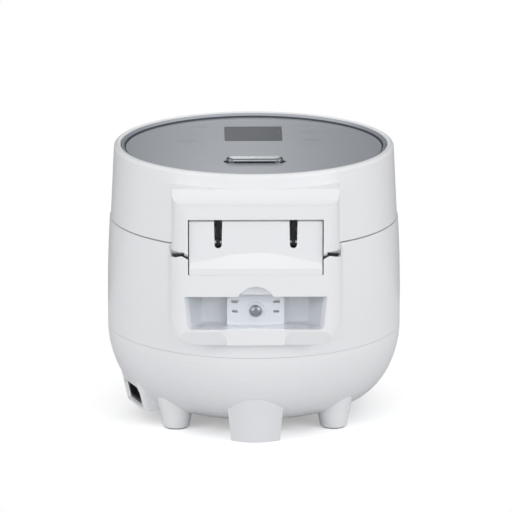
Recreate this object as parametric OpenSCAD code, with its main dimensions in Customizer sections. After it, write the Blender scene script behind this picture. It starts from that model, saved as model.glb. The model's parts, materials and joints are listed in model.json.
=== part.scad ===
// Rice cooker with a hinged lid, a lift-out pot and a dew collector at the back.
// Frame: +Z up, origin on the body axis at floor level, front towards -Y, back towards +Y.
// Lengths are in millimetres.

/* [Body] */
// Largest radius of the round body
body_r = 115; // [112:0.5:118]
// How far the body narrows towards its top edge
body_draw = 1.9; // [1:0.1:3]
// Height of the body's top edge above the floor
body_top_z = 155.6; // [154:0.2:160]
// Height at which the body starts to narrow towards its top edge
barrel_z = 95; // [80:1:120]
// Height of the seam between the base shell and the body shell
seam_z = 70; // [69:0.5:74]
// Height at which the bowl of the base starts to curve in
bowl_top_z = 67.6; // [64:0.2:68.4]
// Radius of the flat underside
floor_r = 53; // [48:1:58]
// Height of the underside above the floor
floor_z = 8.5; // [7:0.5:11]
// Wall thickness of the moulded shells
wall = 2.4; // [2:0.1:2.8]
// Height of the locating lip inside the seam
seam_lip_h = 3; // [2:0.5:5]

/* [Feet] */
// Distance of each round foot from the body axis, along X and along Y
foot_x = 61.5; // [56:0.5:66]
// Distance of each round foot from the body axis, front to back
foot_y = 60; // [56:0.5:64]
// Radius of a foot at the floor
foot_r = 10.6; // [9:0.2:13]
// Radius of a foot where it meets the bowl
foot_root_r = 15.5; // [14:0.5:18]
// Thickness of the rubber pads
pad_h = 1.6; // [1:0.1:3]
// Distance of the rear foot's back face inside the widest of the body
rear_foot_inset = 8.4; // [7:0.2:11]
// Plan radius of the rear foot's back face
rear_foot_r = 31; // [26:0.5:36]
// Half-width of the rear foot at the floor
rear_foot_half = 19; // [15:0.1:22]

/* [Lid] */
// Gap between the lid and the body
lid_gap = 0.8; // [0.6:0.1:1.4]
// Step from the body's top edge in to the lid's lower edge
lid_step = 0.8; // [0.4:0.1:2]
// How far the lid narrows towards its rim
lid_draw = 2.7; // [1.9:0.1:3.1]
// Height of the lid ring from its lower edge to the top of its rim
lid_h = 57.5; // [56.5:0.1:60]
// Radius of the rounded rim
rim_r = 3.2; // [2.6:0.1:3.2]
// Width of the rim round the top panel
rim_w = 5.8; // [5.4:0.1:6.6]
// Thickness of the top panel
panel_t = 2.6; // [2:0.1:3]
// Depth of the panel's surface below the top of the rim
panel_drop = 3.5; // [3:0.1:4.2]
// Height of the panel's upturned edge above its flat
panel_upturn = 3; // [2:0.1:3]

/* [Top panel] */
// Width of the display window
window_w = 45.5; // [38:0.5:52]
// Length of the display window, front to back
window_l = 50; // [44:0.5:54]
// Centre of the display window, along Y
window_y = -43.5; // [-46:0.5:-40]
// Length of the steam vent cap
vent_l = 44; // [40:0.2:50]
// Width of the steam vent cap
vent_w = 10.4; // [10:0.2:12]
// Centre of the steam vent cap, along Y
vent_y = 50.5; // [48:0.5:56]
// Height of the vent cap above the panel
vent_rise = 3.6; // [3:0.2:5]

/* [Hinge] */
// Distance of the hinge axis behind the widest of the body
hinge_back = 1; // [0:0.2:2]
// Height of the hinge axis above the body's top edge
hinge_rise = 7.4; // [7:0.1:8.2]
// Radius of the hinge pin
pin_r = 2; // [1.8:0.1:2.1]
// Distance of each hinge arm from the middle
arm_x = 28.8; // [26:0.2:31]
// Thickness of the hinge arms
arm_t = 3; // [2.4:0.1:3.4]
// Half-width of the hinge cover
cover_half = 51; // [49:0.2:52]
// Radius of the hinge cover about the hinge axis
cover_r = 17.9; // [17.6:0.1:18]
// Radius of the clear tunnel in the lid about the hinge axis
tunnel_r = 19.7; // [19.5:0.1:19.9]
// Half-width of the lid's hinge box
box_half = 64.3; // [63:0.1:65]
// Plan radius of the rear corners of the hinge box and the rear housing
rear_corner_r = 14; // [10:0.5:16]

/* [Rear housing] */
// Half-width of the rear housing
housing_half = 66.8; // [66.8:0.2:68]
// Height of the housing's bottom edge
housing_bottom_z = 82.2; // [81:0.2:84]
// Radius of the housing's bottom corners
housing_corner_r = 24; // [18:0.5:28]
// Distance of the housing's back face behind the hinge axis
housing_depth = 7.4; // [6.8:0.1:8]

/* [Dew collector] */
// Half-width of the collector's window at its top edge
bay_half_top = 55; // [54:0.2:56]
// Half-width of the collector's window at its bottom edge
bay_half_bottom = 52.2; // [51:0.2:53]
// Half-width of the bay at its back wall
bay_half_back = 38.4; // [37:0.2:42]
// Height of the window's bottom edge
bay_bottom_z = 95.2; // [94.6:0.2:98]
// Height of the window's top edge
bay_top_z = 121.4; // [118:0.2:122]
// Depth of the bay, from the housing's back face to its back wall
bay_depth = 21.8; // [20.4:0.1:22]
// Radius of the collector's grip
grip_r = 15.2; // [12:0.2:16]
// Wall thickness of the collector
cup_wall = 1.6; // [1.2:0.1:2]

/* [Power inlet] */
// Direction of the inlet, turned from +X towards the back
inlet_turn = 20; // [16:1:22]
// Lean of the inlet face, its lower edge towards the axis
inlet_lean = 13; // [10:1:16]
// Distance of the inlet face inside the widest of the body
inlet_inset = 13.5; // [12:0.5:15]
// Width of the inlet's housing
inlet_w = 43; // [41:0.5:46]
// Height of the inlet's centre above the floor
inlet_z = 20.5; // [20:0.5:22]

/* [Pot and heating] */
// Gap between the inner casing and the inner pot
pot_gap = 6; // [5.5:0.5:9]
// Wall thickness of the inner pot
pot_wall = 2; // [1.6:0.1:2.4]
// Width of the pot's flange outside its wall
pot_flange_w = 6.6; // [5.5:0.1:7]
// Height of the pot's underside above the floor
pot_bottom_z = 57; // [54:0.5:60]
// Radius of the pot's bottom corner
pot_corner_r = 9; // [7:0.5:14]
// Gap between the widest of the body and the inner casing
casing_gap = 17; // [16.6:0.1:18.2]
// Sheet thickness of the inner casing
casing_t = 1; // [0.8:0.1:1.2]
// How far the heating plate stops short of the pot's wall
plate_margin = 17; // [16:0.5:22]
// Thickness of the heating plate
plate_t = 8; // [6:0.5:10]
// Radius of the temperature sensor's cap
sensor_r = 14; // [12:0.5:16]

/* [Latch] */
// Width of the opening button
button_w = 32; // [26:0.5:38]
// Height of the opening button's face
button_h = 11; // [9:0.2:13]
// Height of the latch pivot above the floor
latch_z = 104; // [102:0.5:106]
// Height of the opening button's centre above the floor
button_z = 134.5; // [132:0.5:136]
// Half-width of the latch hook
hook_half = 3.2; // [2.6:0.1:4]

/* [Clearances] */
// Clearance of fitted pieces that don't move
fit = 0.15; // [0.1:0.01:0.2]
// Radial clearance of a shaft in its hole
run_fit = 0.05; // [0.03:0.01:0.08]
// Clearance around pieces that slide or swing
slide_fit = 0.35; // [0.3:0.01:0.45]

/* [Hidden] */

white = "#eef0f2";
panel_grey = "#a5aab1";
dark = "#23252a";
steel = "#b4b8bd";
aluminium = "#c9ccd0";
clear_plastic = [0.85, 0.87, 0.9, 0.5];
silicone = "#d9dadd";
board_green = "#2f6b4a";

$fn = 96;
eps = 0.01;

// Heights, radii and places that several pieces share.
body_top_r = body_r - body_draw;
lid_r = body_top_r - lid_step;
lid_top_r = lid_r - lid_draw;
panel_r = lid_top_r - rim_w;
casing_r = body_r - casing_gap;
pot_r = casing_r - pot_gap;
pot_flange_r = pot_r + pot_flange_w;
plate_r = pot_r - plate_margin;
hinge_y = body_r + hinge_back;
housing_y = hinge_y + housing_depth;
bay_back_y = housing_y - bay_depth;
rear_foot_y = body_r - rear_foot_inset;
inlet_r = body_r - inlet_inset;
lid_z = body_top_z + lid_gap;
rim_z = lid_z + lid_h;
panel_z = rim_z - panel_drop;
panel_seat_z = panel_z - panel_t;
hinge_z = body_top_z + hinge_rise;
deck_z = body_top_z - 1;
seam_half_gap = 0.08;
flange_top_z = body_top_z - 3.2;
flange_t = 2.2;
pot_seat_z = flange_top_z - flange_t;
casing_top_z = pot_seat_z - 2.4;
casing_bottom_z = 39;
board_z = 17.5;
board_t = 1.6;
control_z = panel_seat_z - 12.2;
liner_z = lid_z + 0.4;
liner_t = 3;
liner_top_z = liner_z + 13.2;
plate_z = liner_z + 4.4;
latch_inset = 10.2;
latch_y = latch_inset - body_r;
board_posts = [42, 25];

function body_radius(z) = z <= barrel_z ? body_r
    : body_r - (body_r - body_top_r) * pow((z - barrel_z) / (body_top_z - barrel_z), 2);

// ---------------------------------------------------------------- helpers

// Rectangle about the origin with all corners rounded
module rounded_rect(w, h, r) {
    square([w - 2 * r, h], center = true);
    square([w, h - 2 * r], center = true);
    for (x = [-1, 1], y = [-1, 1])
        translate([x * (w / 2 - r), y * (h / 2 - r)]) circle(r);
}

// Rectangle from lo to hi with rounded corners at its lo edge only
module round_bottomed(half, lo, hi, r) {
    translate([-half, lo + r]) square([2 * half, hi - lo - r]);
    translate([-half + r, lo]) square([2 * (half - r), r + eps]);
    for (x = [-1, 1]) translate([x * (half - r), lo + r]) circle(r);
}

// Extrudes a shape drawn in XZ from y0 to y1
module along_y(y0, y1)
    translate([0, y1, 0]) rotate([90, 0, 0]) linear_extrude(y1 - y0) children();

// Extrudes a shape drawn in YZ from x0 to x1
module along_x(x0, x1)
    translate([x0, 0, 0]) rotate([90, 0, 90]) linear_extrude(x1 - x0) children();

// Copies a piece to both sides of the YZ plane
module both_sides() {
    children();
    mirror([1, 0, 0]) children();
}

// Ring between two radii and two heights
module ring(r_in, r_out, z0, z1)
    rotate_extrude() translate([r_in, z0]) square([r_out - r_in, z1 - z0]);

// Pan-head screw with its head's underside at the origin, shank along -Z
module screw(shank_r, length, head_r, head_h) {
    translate([0, 0, -length]) cylinder(r = shank_r, h = length + eps);
    difference() {
        rotate_extrude() intersection() {
            translate([0, head_h - 1.4 * head_r]) circle(1.4 * head_r);
            square([head_r, head_h]);
        }
        for (turn = [0, 90]) rotate([0, 0, turn])
            translate([-0.6 * head_r, -0.16 * head_r, 0.45 * head_h])
                cube([1.2 * head_r, 0.32 * head_r, head_h]);
    }
}

// Closed solid through a row of outlines that all have the same number of points
module skin(rows) {
    count = len(rows) - 1;
    sides = len(rows[0]);
    first = [for (s = [sides - 1:-1:0]) s];
    last = [for (s = [0:sides - 1]) count * sides + s];
    walls = [for (i = [0:count - 1], s = [0:sides - 1])
        let (a = i * sides + s, b = i * sides + (s + 1) % sides)
            each [[a, b, b + sides], [a, b + sides, a + sides]]];
    polyhedron([for (row = rows) each row], concat([first, last], walls));
}

// Coil of round wire about the Z axis, its lowest turn at z = 0
module coil(r, wire_r, pitch, turns, steps = 14, sides = 6)
    skin([for (i = [0:round(turns * steps)]) let (a = 360 * i / steps)
        [for (s = [0:sides - 1]) let (b = 360 * s / sides)
            [(r + wire_r * cos(b)) * cos(a), (r + wire_r * cos(b)) * sin(a),
             wire_r + pitch * i / steps + wire_r * sin(b)]]]);

// ---------------------------------------------------------------- base

// Point on the bowl's outline, inset from its outer surface
function bowl_point(a, inset) = [
    floor_r + (body_r - inset - floor_r) * pow(max(cos(a), 0), 0.647),
    bowl_top_z - (bowl_top_z - floor_z - inset) * pow(sin(a), 1.17)];

// Solid bowl up to a height, inset from the outer surface
module bowl_solid(inset, top_z)
    rotate_extrude() polygon(concat(
        [[0, top_z], [0, floor_z + inset]],
        [for (a = [90:-5:0]) bowl_point(a, inset)],
        [[body_r - inset, top_z]]));

base_top_z = seam_z - seam_half_gap;
foot_top_z = 28;
screw_ring_r = 68;
screw_turns = [0, 90, 180, 270];
base_screw_r = 1.9;
vent_pitch = 8;

foot_edge_r = 1.6;

module foot_places()
    for (x = [-1, 1], y = [-1, 1]) translate([x * foot_x, y * foot_y, 0]) children();

// Round foot with a softened lower edge, its underside just above the pad's
module round_foot() rotate_extrude() polygon(concat([[0, pad_h - 1]],
    [for (a = [-90:15:0]) [foot_r - foot_edge_r + foot_edge_r * cos(a),
        pad_h - 1 + foot_edge_r + foot_edge_r * sin(a)]],
    [[foot_root_r, foot_top_z], [0, foot_top_z]]));

// Local frame of the inlet: X along its face's normal, origin at the face's centre
module at_inlet()
    rotate([0, 0, inlet_turn]) translate([inlet_r, 0, inlet_z])
        rotate([0, inlet_lean, 0]) children();

inlet_hole_w = 31;
inlet_hole_h = 16;
inlet_recess = 3.2;
inlet_depth = 21;
inlet_floor_z = 10.5;
inlet_chamfer = 4;
inlet_flare = 2.8;

module inlet_pod() intersection() {
    at_inlet() translate([-19, 0, -20]) linear_extrude(40)
        rounded_rect(38, inlet_w, 4);
    translate([0, -body_r, inlet_floor_z]) cube([body_r, 2 * body_r, 40]);
}

// Section of the inlet: a rectangle whose upper corners are cut off
module inlet_section(inset) {
    half = inlet_hole_w / 2 - inset;
    top = inlet_hole_h / 2 - inset;
    polygon([[-half, -top], [half, -top], [half, top - inlet_chamfer], [half - inlet_chamfer, top],
        [-half + inlet_chamfer, top], [-half, top - inlet_chamfer]]);
}

// Extrudes a section drawn across the inlet from one depth behind its face to another
module inlet_slab(x0, x1) translate([x0, 0, 0]) rotate([90, 0, 90]) linear_extrude(x1 - x0)
    children();

// Space taken out of the inlet's housing: the flared recess and the channel behind it
module inlet_cut() at_inlet() {
    inlet_slab(-inlet_recess, 20) inlet_section(0);
    hull() {
        inlet_slab(-inlet_recess + 1, -inlet_recess + 1 + eps) inlet_section(0);
        inlet_slab(0, 4) for (side = [-1, 1]) translate([side * inlet_flare, 0]) inlet_section(0);
    }
    inlet_slab(-40, 0) inlet_section(1.5);
}

module seam_lip() {
    lip_out = body_r - wall - fit;
    rotate_extrude() polygon([
        [lip_out, base_top_z - 4], [lip_out, seam_z + seam_lip_h],
        [lip_out - 1.6, seam_z + seam_lip_h], [lip_out - 1.6, base_top_z - 4],
        [lip_out - 0.2, base_top_z - 8], [lip_out + 0.4, base_top_z - 8],
        [lip_out + 0.4, base_top_z - 1], [lip_out, base_top_z - 1]]);
}

module base_shell() color(white) difference() {
    union() {
        difference() {
            union() {
                bowl_solid(0, base_top_z);
                foot_places() round_foot();
                inlet_pod();
            }
            bowl_solid(wall, seam_z + 20);
        }
        seam_lip();
        for (a = screw_turns) rotate([0, 0, a]) translate([screw_ring_r, 0, floor_z + 1.4])
            cylinder(r = 6, h = casing_bottom_z - floor_z - 1.4);
        for (x = [-1, 1], y = [-1, 1])
            translate([x * board_posts[0], y * board_posts[1], floor_z + 1])
                cylinder(r = 3.5, h = board_z - floor_z - 1);
        intersection() {
            bowl_solid(wall / 2, seam_z);
            at_inlet() inlet_slab(-inlet_recess - 8, -inlet_recess) inlet_section(-1.5);
        }
    }
    foot_places() cylinder(r = foot_r - foot_edge_r, h = pad_h);
    for (a = screw_turns) rotate([0, 0, a]) translate([screw_ring_r, 0, 0]) {
        cylinder(r = base_screw_r + fit, h = casing_bottom_z + 1);
        cylinder(r = 4.2, h = floor_z + 6);
    }
    for (side = [-1, 1], i = [-2:2])
        translate([side * 25, i * vent_pitch, floor_z - 1]) linear_extrude(wall + 2)
            rounded_rect(26, 3.2, 1.5);
    inlet_cut();
}

module foot_pads() color("#4a4c50") foot_places()
    cylinder(r = foot_r - foot_edge_r - fit, h = pad_h);

module rear_foot() color("#d3d5d8") difference() {
    intersection() {
        translate([0, rear_foot_y - rear_foot_r, 0])
            cylinder(r = rear_foot_r, h = 50);
        along_y(rear_foot_y - 34, rear_foot_y + 1) polygon([
            [-rear_foot_half, 0], [rear_foot_half, 0],
            [rear_foot_half + 5, 50], [-rear_foot_half - 5, 50]]);
    }
    bowl_solid(0, seam_z + 20);
    difference() {
        translate([0, rear_foot_y - rear_foot_r, 3])
            cylinder(r = rear_foot_r - 3.4, h = 50);
        along_y(0, rear_foot_y) for (x = [-1, 1])
            translate([x * (rear_foot_half + 4), 0]) square([16, 100], center = true);
        along_y(0, rear_foot_y) translate([-1.2, 0]) square([2.4, 60]);
    }
}

module base_screws() color(steel)
    for (a = screw_turns) rotate([0, 0, a])
        translate([screw_ring_r, 0, floor_z + 6]) rotate([180, 0, 0])
            screw(base_screw_r, casing_bottom_z + casing_t - floor_z - 6 + 3, 3.6, 2.4);

// ---------------------------------------------------------------- body shell

// Solid of the round body between two heights, inset from its outer surface
module barrel_solid(z0, z1, inset) {
    steps = 8;
    rotate_extrude() polygon(concat([[0, z1], [0, z0]],
        [for (i = [0:steps]) let (z = z0 + (z1 - z0) * i / steps)
            [body_radius(z) - inset, z]]));
}

// Rear housing as a solid, inset from its outer surface, up to a height
module housing_solid(inset, top_z) intersection() {
    along_y(60, housing_y + 1)
        round_bottomed(housing_half - inset, housing_bottom_z + inset, top_z,
            housing_corner_r - inset);
    linear_extrude(top_z) mirror([0, 1])
        round_bottomed(housing_half - inset, inset - housing_y, -60,
            rear_corner_r - inset);
}

skirt_z = 138.5;
ledge_z = body_top_z - 0.6;
pocket_r = 11.7;
pocket_flare = 3.4;
flare_w = 7;
lip_h = 11.4;
lip_slope = 3.4;
pad_half = 22.4;
pad_ramp = 4.6;
pad_y = housing_y - 2;
pocket_end = box_half + 0.8;
cut_half = cover_half + 0.8;
bay_corner_r = 3.5;

// Cross-section of the bay, from the half-widths of its top and bottom, grown by an amount
module bay_outline(half_top, half_bottom, grow, top_z) intersection() {
    offset(r = bay_corner_r + grow, $fn = 32) offset(delta = -bay_corner_r) polygon([
        [-half_bottom, bay_bottom_z], [half_bottom, bay_bottom_z], [half_top, bay_top_z],
        [half_top, bay_top_z + 20], [-half_top, bay_top_z + 20], [-half_top, bay_top_z]]);
    translate([-housing_half, bay_bottom_z - grow])
        square([2 * housing_half, top_z - bay_bottom_z + grow]);
}

// Space of the bay between two places along Y, which narrows towards its back wall
module bay_space(grow, y0, y1, top_z) intersection() {
    hull() {
        along_y(bay_back_y - 4, bay_back_y)
            bay_outline(bay_half_back, bay_half_back, grow, top_z);
        along_y(housing_y, housing_y + 2)
            bay_outline(bay_half_top, bay_half_bottom, grow, top_z);
    }
    translate([-body_r, y0, 0]) cube([2 * body_r, y1 - y0, 200]);
}

// Raised middle of the bay's back wall, which carries the screw
bay_block_half = 22;
bay_block_y = bay_back_y + 7.4;
bay_screw_z = 106.4;
screw_ring = [5.6, 7];
clip_slots = [[16.1, 113.9, 5, 2.4], [15.9, 106, 4.4, 1.9]];

module bay_walls() {
    difference() {
        bay_space(2, bay_back_y - 2, housing_y - 1, bay_top_z + 2.2);
        bay_space(0, bay_back_y, housing_y + 1, bay_top_z);
    }
    along_y(bay_back_y - 1, bay_block_y)
        translate([-bay_block_half, bay_bottom_z - 1])
            square([2 * bay_block_half, bay_top_z - bay_bottom_z + 2]);
    along_y(bay_block_y - 1, bay_block_y + 0.8) translate([0, bay_screw_z]) difference() {
        circle(screw_ring[1]);
        circle(screw_ring[0]);
    }
    difference() {
        along_y(housing_y - 8.4, housing_y - 1) grip_circle(1.8);
        translate([0, 0, bay_top_z - 40]) cube([100, 300, 80], center = true);
    }
}

grip_z = 113.8;
module grip_circle(grow) translate([0, grip_z]) circle(grip_r + grow);

module bay_cut() {
    difference() {
        bay_space(0, bay_back_y, housing_y + 1, bay_top_z);
        along_y(bay_back_y - 1, bay_block_y)
            translate([-bay_block_half, 0]) square([2 * bay_block_half, 200]);
        along_y(bay_block_y - 1, bay_block_y + 0.8)
            translate([0, bay_screw_z]) circle(screw_ring[1]);
    }
    along_y(housing_y - 6.6, housing_y + 1) grip_circle(slide_fit);
    along_y(bay_block_y - eps, bay_block_y + 1)
        translate([0, bay_screw_z]) circle(screw_ring[0]);
    along_y(bay_back_y - 3, bay_block_y + 1)
        translate([0, bay_screw_z]) circle(bay_shank_r + slide_fit / 2);
    both_sides() for (slot = clip_slots) along_y(bay_block_y - 5, bay_block_y + 1)
        translate([slot[0], slot[1]]) square([slot[2], slot[3]], center = true);
}

// Cylinder about the hinge axis between two places along X
module about_hinge(r, x0, x1)
    along_x(x0, x1) translate([hinge_y, hinge_z]) circle(r);

// Round pocket about the hinge axis for a leg of the lid, flared towards the cover
module leg_pocket() {
    about_hinge(pocket_r, cut_half - 2, pocket_end);
    translate([cut_half - 2, hinge_y, hinge_z]) rotate([0, 90, 0])
        cylinder(r1 = pocket_r + pocket_flare, r2 = pocket_r, h = flare_w);
}

latch_hole_clear = 0.4;

module button_hole() along_y(-body_r - 5, -body_r + 12)
    translate([0, button_z])
        rounded_rect(button_w + 2 * latch_hole_clear, button_h + 2 * latch_hole_clear,
            button_h / 2 - 0.1);

module latch_ears() both_sides() difference() {
    along_x(hook_half + 3.6, hook_half + 6) translate([-body_r + wall - 0.6, latch_z - 5])
        square([body_r - wall + 0.6 + latch_y + 4, 10]);
    latch_axis(1.5 + run_fit, 20);
}

// Cylinder along the latch's pivot, of a half-length either side of the middle
module latch_axis(r, half) along_x(-half, half) translate([latch_y, latch_z]) circle(r);

// Inner ledge of the body shell, which the deck ring sits on
module deck_ledge() {
    root_r = body_radius(casing_top_z) - wall + 0.5;
    rotate_extrude() polygon([
        [root_r, casing_top_z], [root_r, casing_top_z - 6],
        [root_r - 3, casing_top_z - 1.6], [root_r - 3, casing_top_z]]);
}

module body_shell() color(white) difference() {
    union() {
        difference() {
            union() {
                barrel_solid(seam_z + seam_half_gap, body_top_z, 0);
                housing_solid(0, ledge_z);
            }
            barrel_solid(seam_z - 1, body_top_z + 1, wall);
            housing_solid(wall, ledge_z - 2.4);
            housing_lip_cut();
            intersection() {
                housing_solid(wall, body_top_z + 1);
                along_x(-cut_half, cut_half) translate([hinge_y - 21, skirt_z]) square([60, 40]);
            }
        }
        intersection() {
            union() {
                bay_walls();
                housing_lip();
            }
            difference() {
                housing_solid(0.6, ledge_z);
                cylinder(r = casing_r + 0.6, h = 200);
            }
        }
        intersection() {
            lip_pad();
            housing_solid(0, ledge_z);
        }
        bracket_screw_places() translate([0, 0, bay_top_z])
            cylinder(r = 4, h = bracket_z - bay_top_z);
        deck_ledge();
        latch_ears();
    }
    along_x(-cut_half, cut_half) translate([hinge_y + 0.6, skirt_z]) square([20, 40]);
    along_x(-cut_half, cut_half) translate([hinge_y - 17, casing_top_z - 8]) square([60, 40]);
    both_sides() leg_pocket();
    pad_recess();
    bay_cut();
    bracket_screw_places() translate([0, 0, bracket_z - 12]) cylinder(r = 1.5, h = 20);
    button_hole();
    latch_mouth(casing_top_z - 12);
}

// Slot through the ledge, the casing's flange and the deck ring for the latch and its catch
module latch_mouth(low_z)
    translate([-8.5, -body_top_r + wall + 0.6, low_z])
        cube([17, body_top_r - wall - 0.6 - pot_flange_r - 0.5, 40]);

// Slope taken off the housing's lower lip
module housing_lip_cut() along_x(-100, 100) polygon([
    [housing_y + 1, housing_bottom_z + lip_h], [housing_y + 1, housing_bottom_z - 1],
    [housing_y - lip_slope, housing_bottom_z - 1], [housing_y - lip_slope, housing_bottom_z],
    [housing_y, housing_bottom_z + lip_h]]);

module housing_lip() along_x(-housing_half, housing_half) polygon([
    [housing_y - wall, housing_bottom_z + lip_h + 2], [housing_y, housing_bottom_z + lip_h],
    [housing_y - lip_slope, housing_bottom_z], [housing_y - lip_slope - wall, housing_bottom_z],
    [housing_y - lip_slope - wall, housing_bottom_z + 2]]);

// Upright pad in the middle of the lower lip
module lip_pad() translate([-pad_half, pad_y - wall - 1, housing_bottom_z])
    cube([2 * pad_half, wall + 1, bay_bottom_z - housing_bottom_z]);

// Shallow recess in front of the pad, with a ramp at each end
module pad_recess() translate([0, 0, housing_bottom_z - 1])
    linear_extrude(bay_bottom_z - housing_bottom_z + 1 + eps) polygon([
        [-pad_half, pad_y], [pad_half, pad_y], [pad_half + pad_ramp, housing_y + eps],
        [pad_half + pad_ramp, housing_y + 1], [-pad_half - pad_ramp, housing_y + 1],
        [-pad_half - pad_ramp, housing_y + eps]]);

deck_r = body_top_r - wall - 0.4;
deck_edge = 0.9;
deck_groove = [3.1, 7.9];
groove_depth = 1.4;

module deck_ring() color(white) difference() {
    rotate_extrude() polygon([
        [pot_r + 3.6, casing_top_z + eps], [pot_r + 3.6, pot_seat_z],
        [pot_flange_r + 0.8, pot_seat_z], [pot_flange_r + 0.8, deck_z - 0.6],
        [pot_flange_r + 1.6, deck_z], [deck_r - deck_groove[1], deck_z],
        [deck_r - deck_groove[1] + 0.8, deck_z - groove_depth],
        [deck_r - deck_groove[0] - 0.8, deck_z - groove_depth],
        [deck_r - deck_groove[0], deck_z], [deck_r - deck_edge, deck_z],
        [deck_r, deck_z - deck_edge + 0.1], [deck_r, casing_top_z + eps]]);
    along_x(-cut_half + 1, cut_half - 1) translate([hinge_y - 12.4, casing_top_z - 1])
        square([20, 20]);
    latch_mouth(casing_top_z - 1);
    translate([-8.5, -body_r, casing_top_z - 1]) cube([17, 10, 20]);
}

// ---------------------------------------------------------------- heating

module inner_casing() color(steel) difference() {
    union() {
        ring(casing_r - casing_t, casing_r, casing_bottom_z, casing_top_z);
        ring(casing_r - casing_t, casing_r + 3, casing_top_z - casing_t, casing_top_z);
        ring(20, casing_r, casing_bottom_z, casing_bottom_z + casing_t);
    }
    for (a = screw_turns) rotate([0, 0, a]) translate([screw_ring_r, 0, 0])
        cylinder(r = base_screw_r + fit, h = 60);
    for (a = [30, 150, 270]) rotate([0, 0, a]) translate([60, 0, 0]) cylinder(r = 2, h = 60);
    latch_mouth(casing_top_z - casing_t - 1);
}

plate_z0 = pot_bottom_z - plate_t;
element_r = 50;
element_wire_r = 3.6;

module heating_plate() color(aluminium) difference() {
    union() {
        rotate_extrude() polygon([
            [sensor_r + 2, plate_z0], [sensor_r + 2, pot_bottom_z],
            [plate_r - 3, pot_bottom_z], [plate_r, pot_bottom_z - 2],
            [plate_r, plate_z0 + 1], [plate_r - 1, plate_z0]]);
        ring(element_r - 6, element_r + 6, plate_z0 - 3, plate_z0 + eps);
        for (a = [30, 150, 270]) rotate([0, 0, a])
            translate([60, 0, casing_bottom_z + casing_t])
                cylinder(r = 5, h = plate_z0 - casing_bottom_z - casing_t + eps);
    }
    rotate_extrude() translate([element_r, plate_z0 - 2.2]) circle(element_wire_r + 0.05, $fn = 24);
}

module heater_element() color("#6c6e72") {
    rotate_extrude() translate([element_r, plate_z0 - 2.2]) circle(element_wire_r, $fn = 24);
    for (x = [-1, 1]) translate([x * 14, -element_r + 2, plate_z0 - 9])
        cylinder(r = 2, h = 6);
}

module thermal_fuse() color("#b09a5a") {
    translate([-12, 30, plate_z0 - 5]) rotate([0, 90, 0]) cylinder(r = 2.6, h = 24);
    translate([-8, 27.4, plate_z0 - 2.6]) cube([16, 5.2, 2.6 - eps]);
}

guide_z = casing_bottom_z + casing_t;

module sensor_guide() color(steel) difference() {
    union() {
        ring(5, 24, guide_z, guide_z + 1.2);
        ring(3.4, 5.2, guide_z - 7, guide_z + 1.2);
    }
    for (a = [0:90:270]) rotate([0, 0, a + 45]) translate([15, 0, 0]) cylinder(r = 2, h = 90);
}

module sensor_cap() color(aluminium) {
    rotate_extrude() polygon([
        [0, pot_bottom_z - 0.05], [sensor_r - 1.4, pot_bottom_z - 0.05],
        [sensor_r, pot_bottom_z - 1.2], [sensor_r, pot_bottom_z - 7],
        [sensor_r - 1, pot_bottom_z - 7], [sensor_r - 1, pot_bottom_z - 2], [0, pot_bottom_z - 2]]);
    translate([0, 0, guide_z - 9]) cylinder(r = 3.3, h = pot_bottom_z - 1.5 - guide_z + 9);
}

module sensor_spring() color(steel) translate([0, 0, guide_z + 1.3])
    coil(7.6, 0.6, (pot_bottom_z - 2.2 - guide_z - 2.5) / 5, 5);

// Outline of the pot's wall, as a radius and height for each step round its corner
function pot_corner(inset) = [for (a = [-90:10:0]) [
    pot_r - pot_corner_r + (pot_corner_r - inset) * cos(a),
    pot_bottom_z + pot_corner_r + (pot_corner_r - inset) * sin(a)]];

module inner_pot() color("#4b4d52") rotate_extrude() polygon(concat(
    [[0, pot_bottom_z]], pot_corner(0),
    [[pot_r, pot_seat_z - 1], [pot_r + 1, pot_seat_z], [pot_flange_r - 0.6, pot_seat_z],
     [pot_flange_r, pot_seat_z + 0.8], [pot_flange_r, flange_top_z - 0.6],
     [pot_flange_r - 0.6, flange_top_z], [pot_r - pot_wall + 2, flange_top_z],
     [pot_r - pot_wall, flange_top_z - 2]],
    [for (i = [9:-1:0]) pot_corner(pot_wall)[i]], [[0, pot_bottom_z + pot_wall]]));

// ---------------------------------------------------------------- electrics

board_margin = 6;

module power_board() color(board_green) difference() {
    translate([-board_posts[0] - board_margin, -board_posts[1] - board_margin, board_z])
        cube([2 * (board_posts[0] + board_margin), 2 * (board_posts[1] + board_margin), board_t]);
    for (x = [-1, 1], y = [-1, 1]) translate([x * board_posts[0], y * board_posts[1], 0])
        cylinder(r = 1.6, h = 60);
}

module board_parts() {
    top = board_z + board_t;
    color("#2b2d33") translate([-34, -22, top]) cube([28, 24, 13]);
    color("#e6e6e2") translate([8, -24, top]) cube([22, 16, 12]);
    color("#30405e") for (x = [6, 20]) translate([x, 12, top]) cylinder(r = 5, h = 12);
    color("#8f5f3a") translate([-24, 14, top]) cylinder(r = 7, h = 8);
    color("#dedfdb") translate([32, -6, top]) cube([8, 20, 9]);
}

module inlet_socket() color(dark) at_inlet() difference() {
    union() {
        inlet_slab(-inlet_recess, -inlet_recess + 1) inlet_section(fit);
        inlet_slab(-inlet_depth, -inlet_recess + eps) inlet_section(1.5 + fit);
    }
    inlet_slab(3 - inlet_depth, 20) inlet_section(3);
    contact_blades(eps);
}

// Flat contacts of the inlet, the middle one set higher
module contact_blades(grow) for (y = [-7, 0, 7])
    translate([-inlet_depth - 5, y, y == 0 ? 1 : -1]) rotate([90, 0, 90])
        linear_extrude(14) square([2 + 2 * grow, 4 + 2 * grow], center = true);

module inlet_pins() color("#c9a45c") at_inlet() contact_blades(0);

// ---------------------------------------------------------------- hinge, body side

bracket_z = 144;
bracket_t = 2;
bracket_screw = [34, hinge_y - 5];
bracket_reach = [12.2, 2.2];
bay_shank_r = 2;

module bracket_screw_places() both_sides()
    translate([bracket_screw[0], bracket_screw[1], 0]) children();

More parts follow.
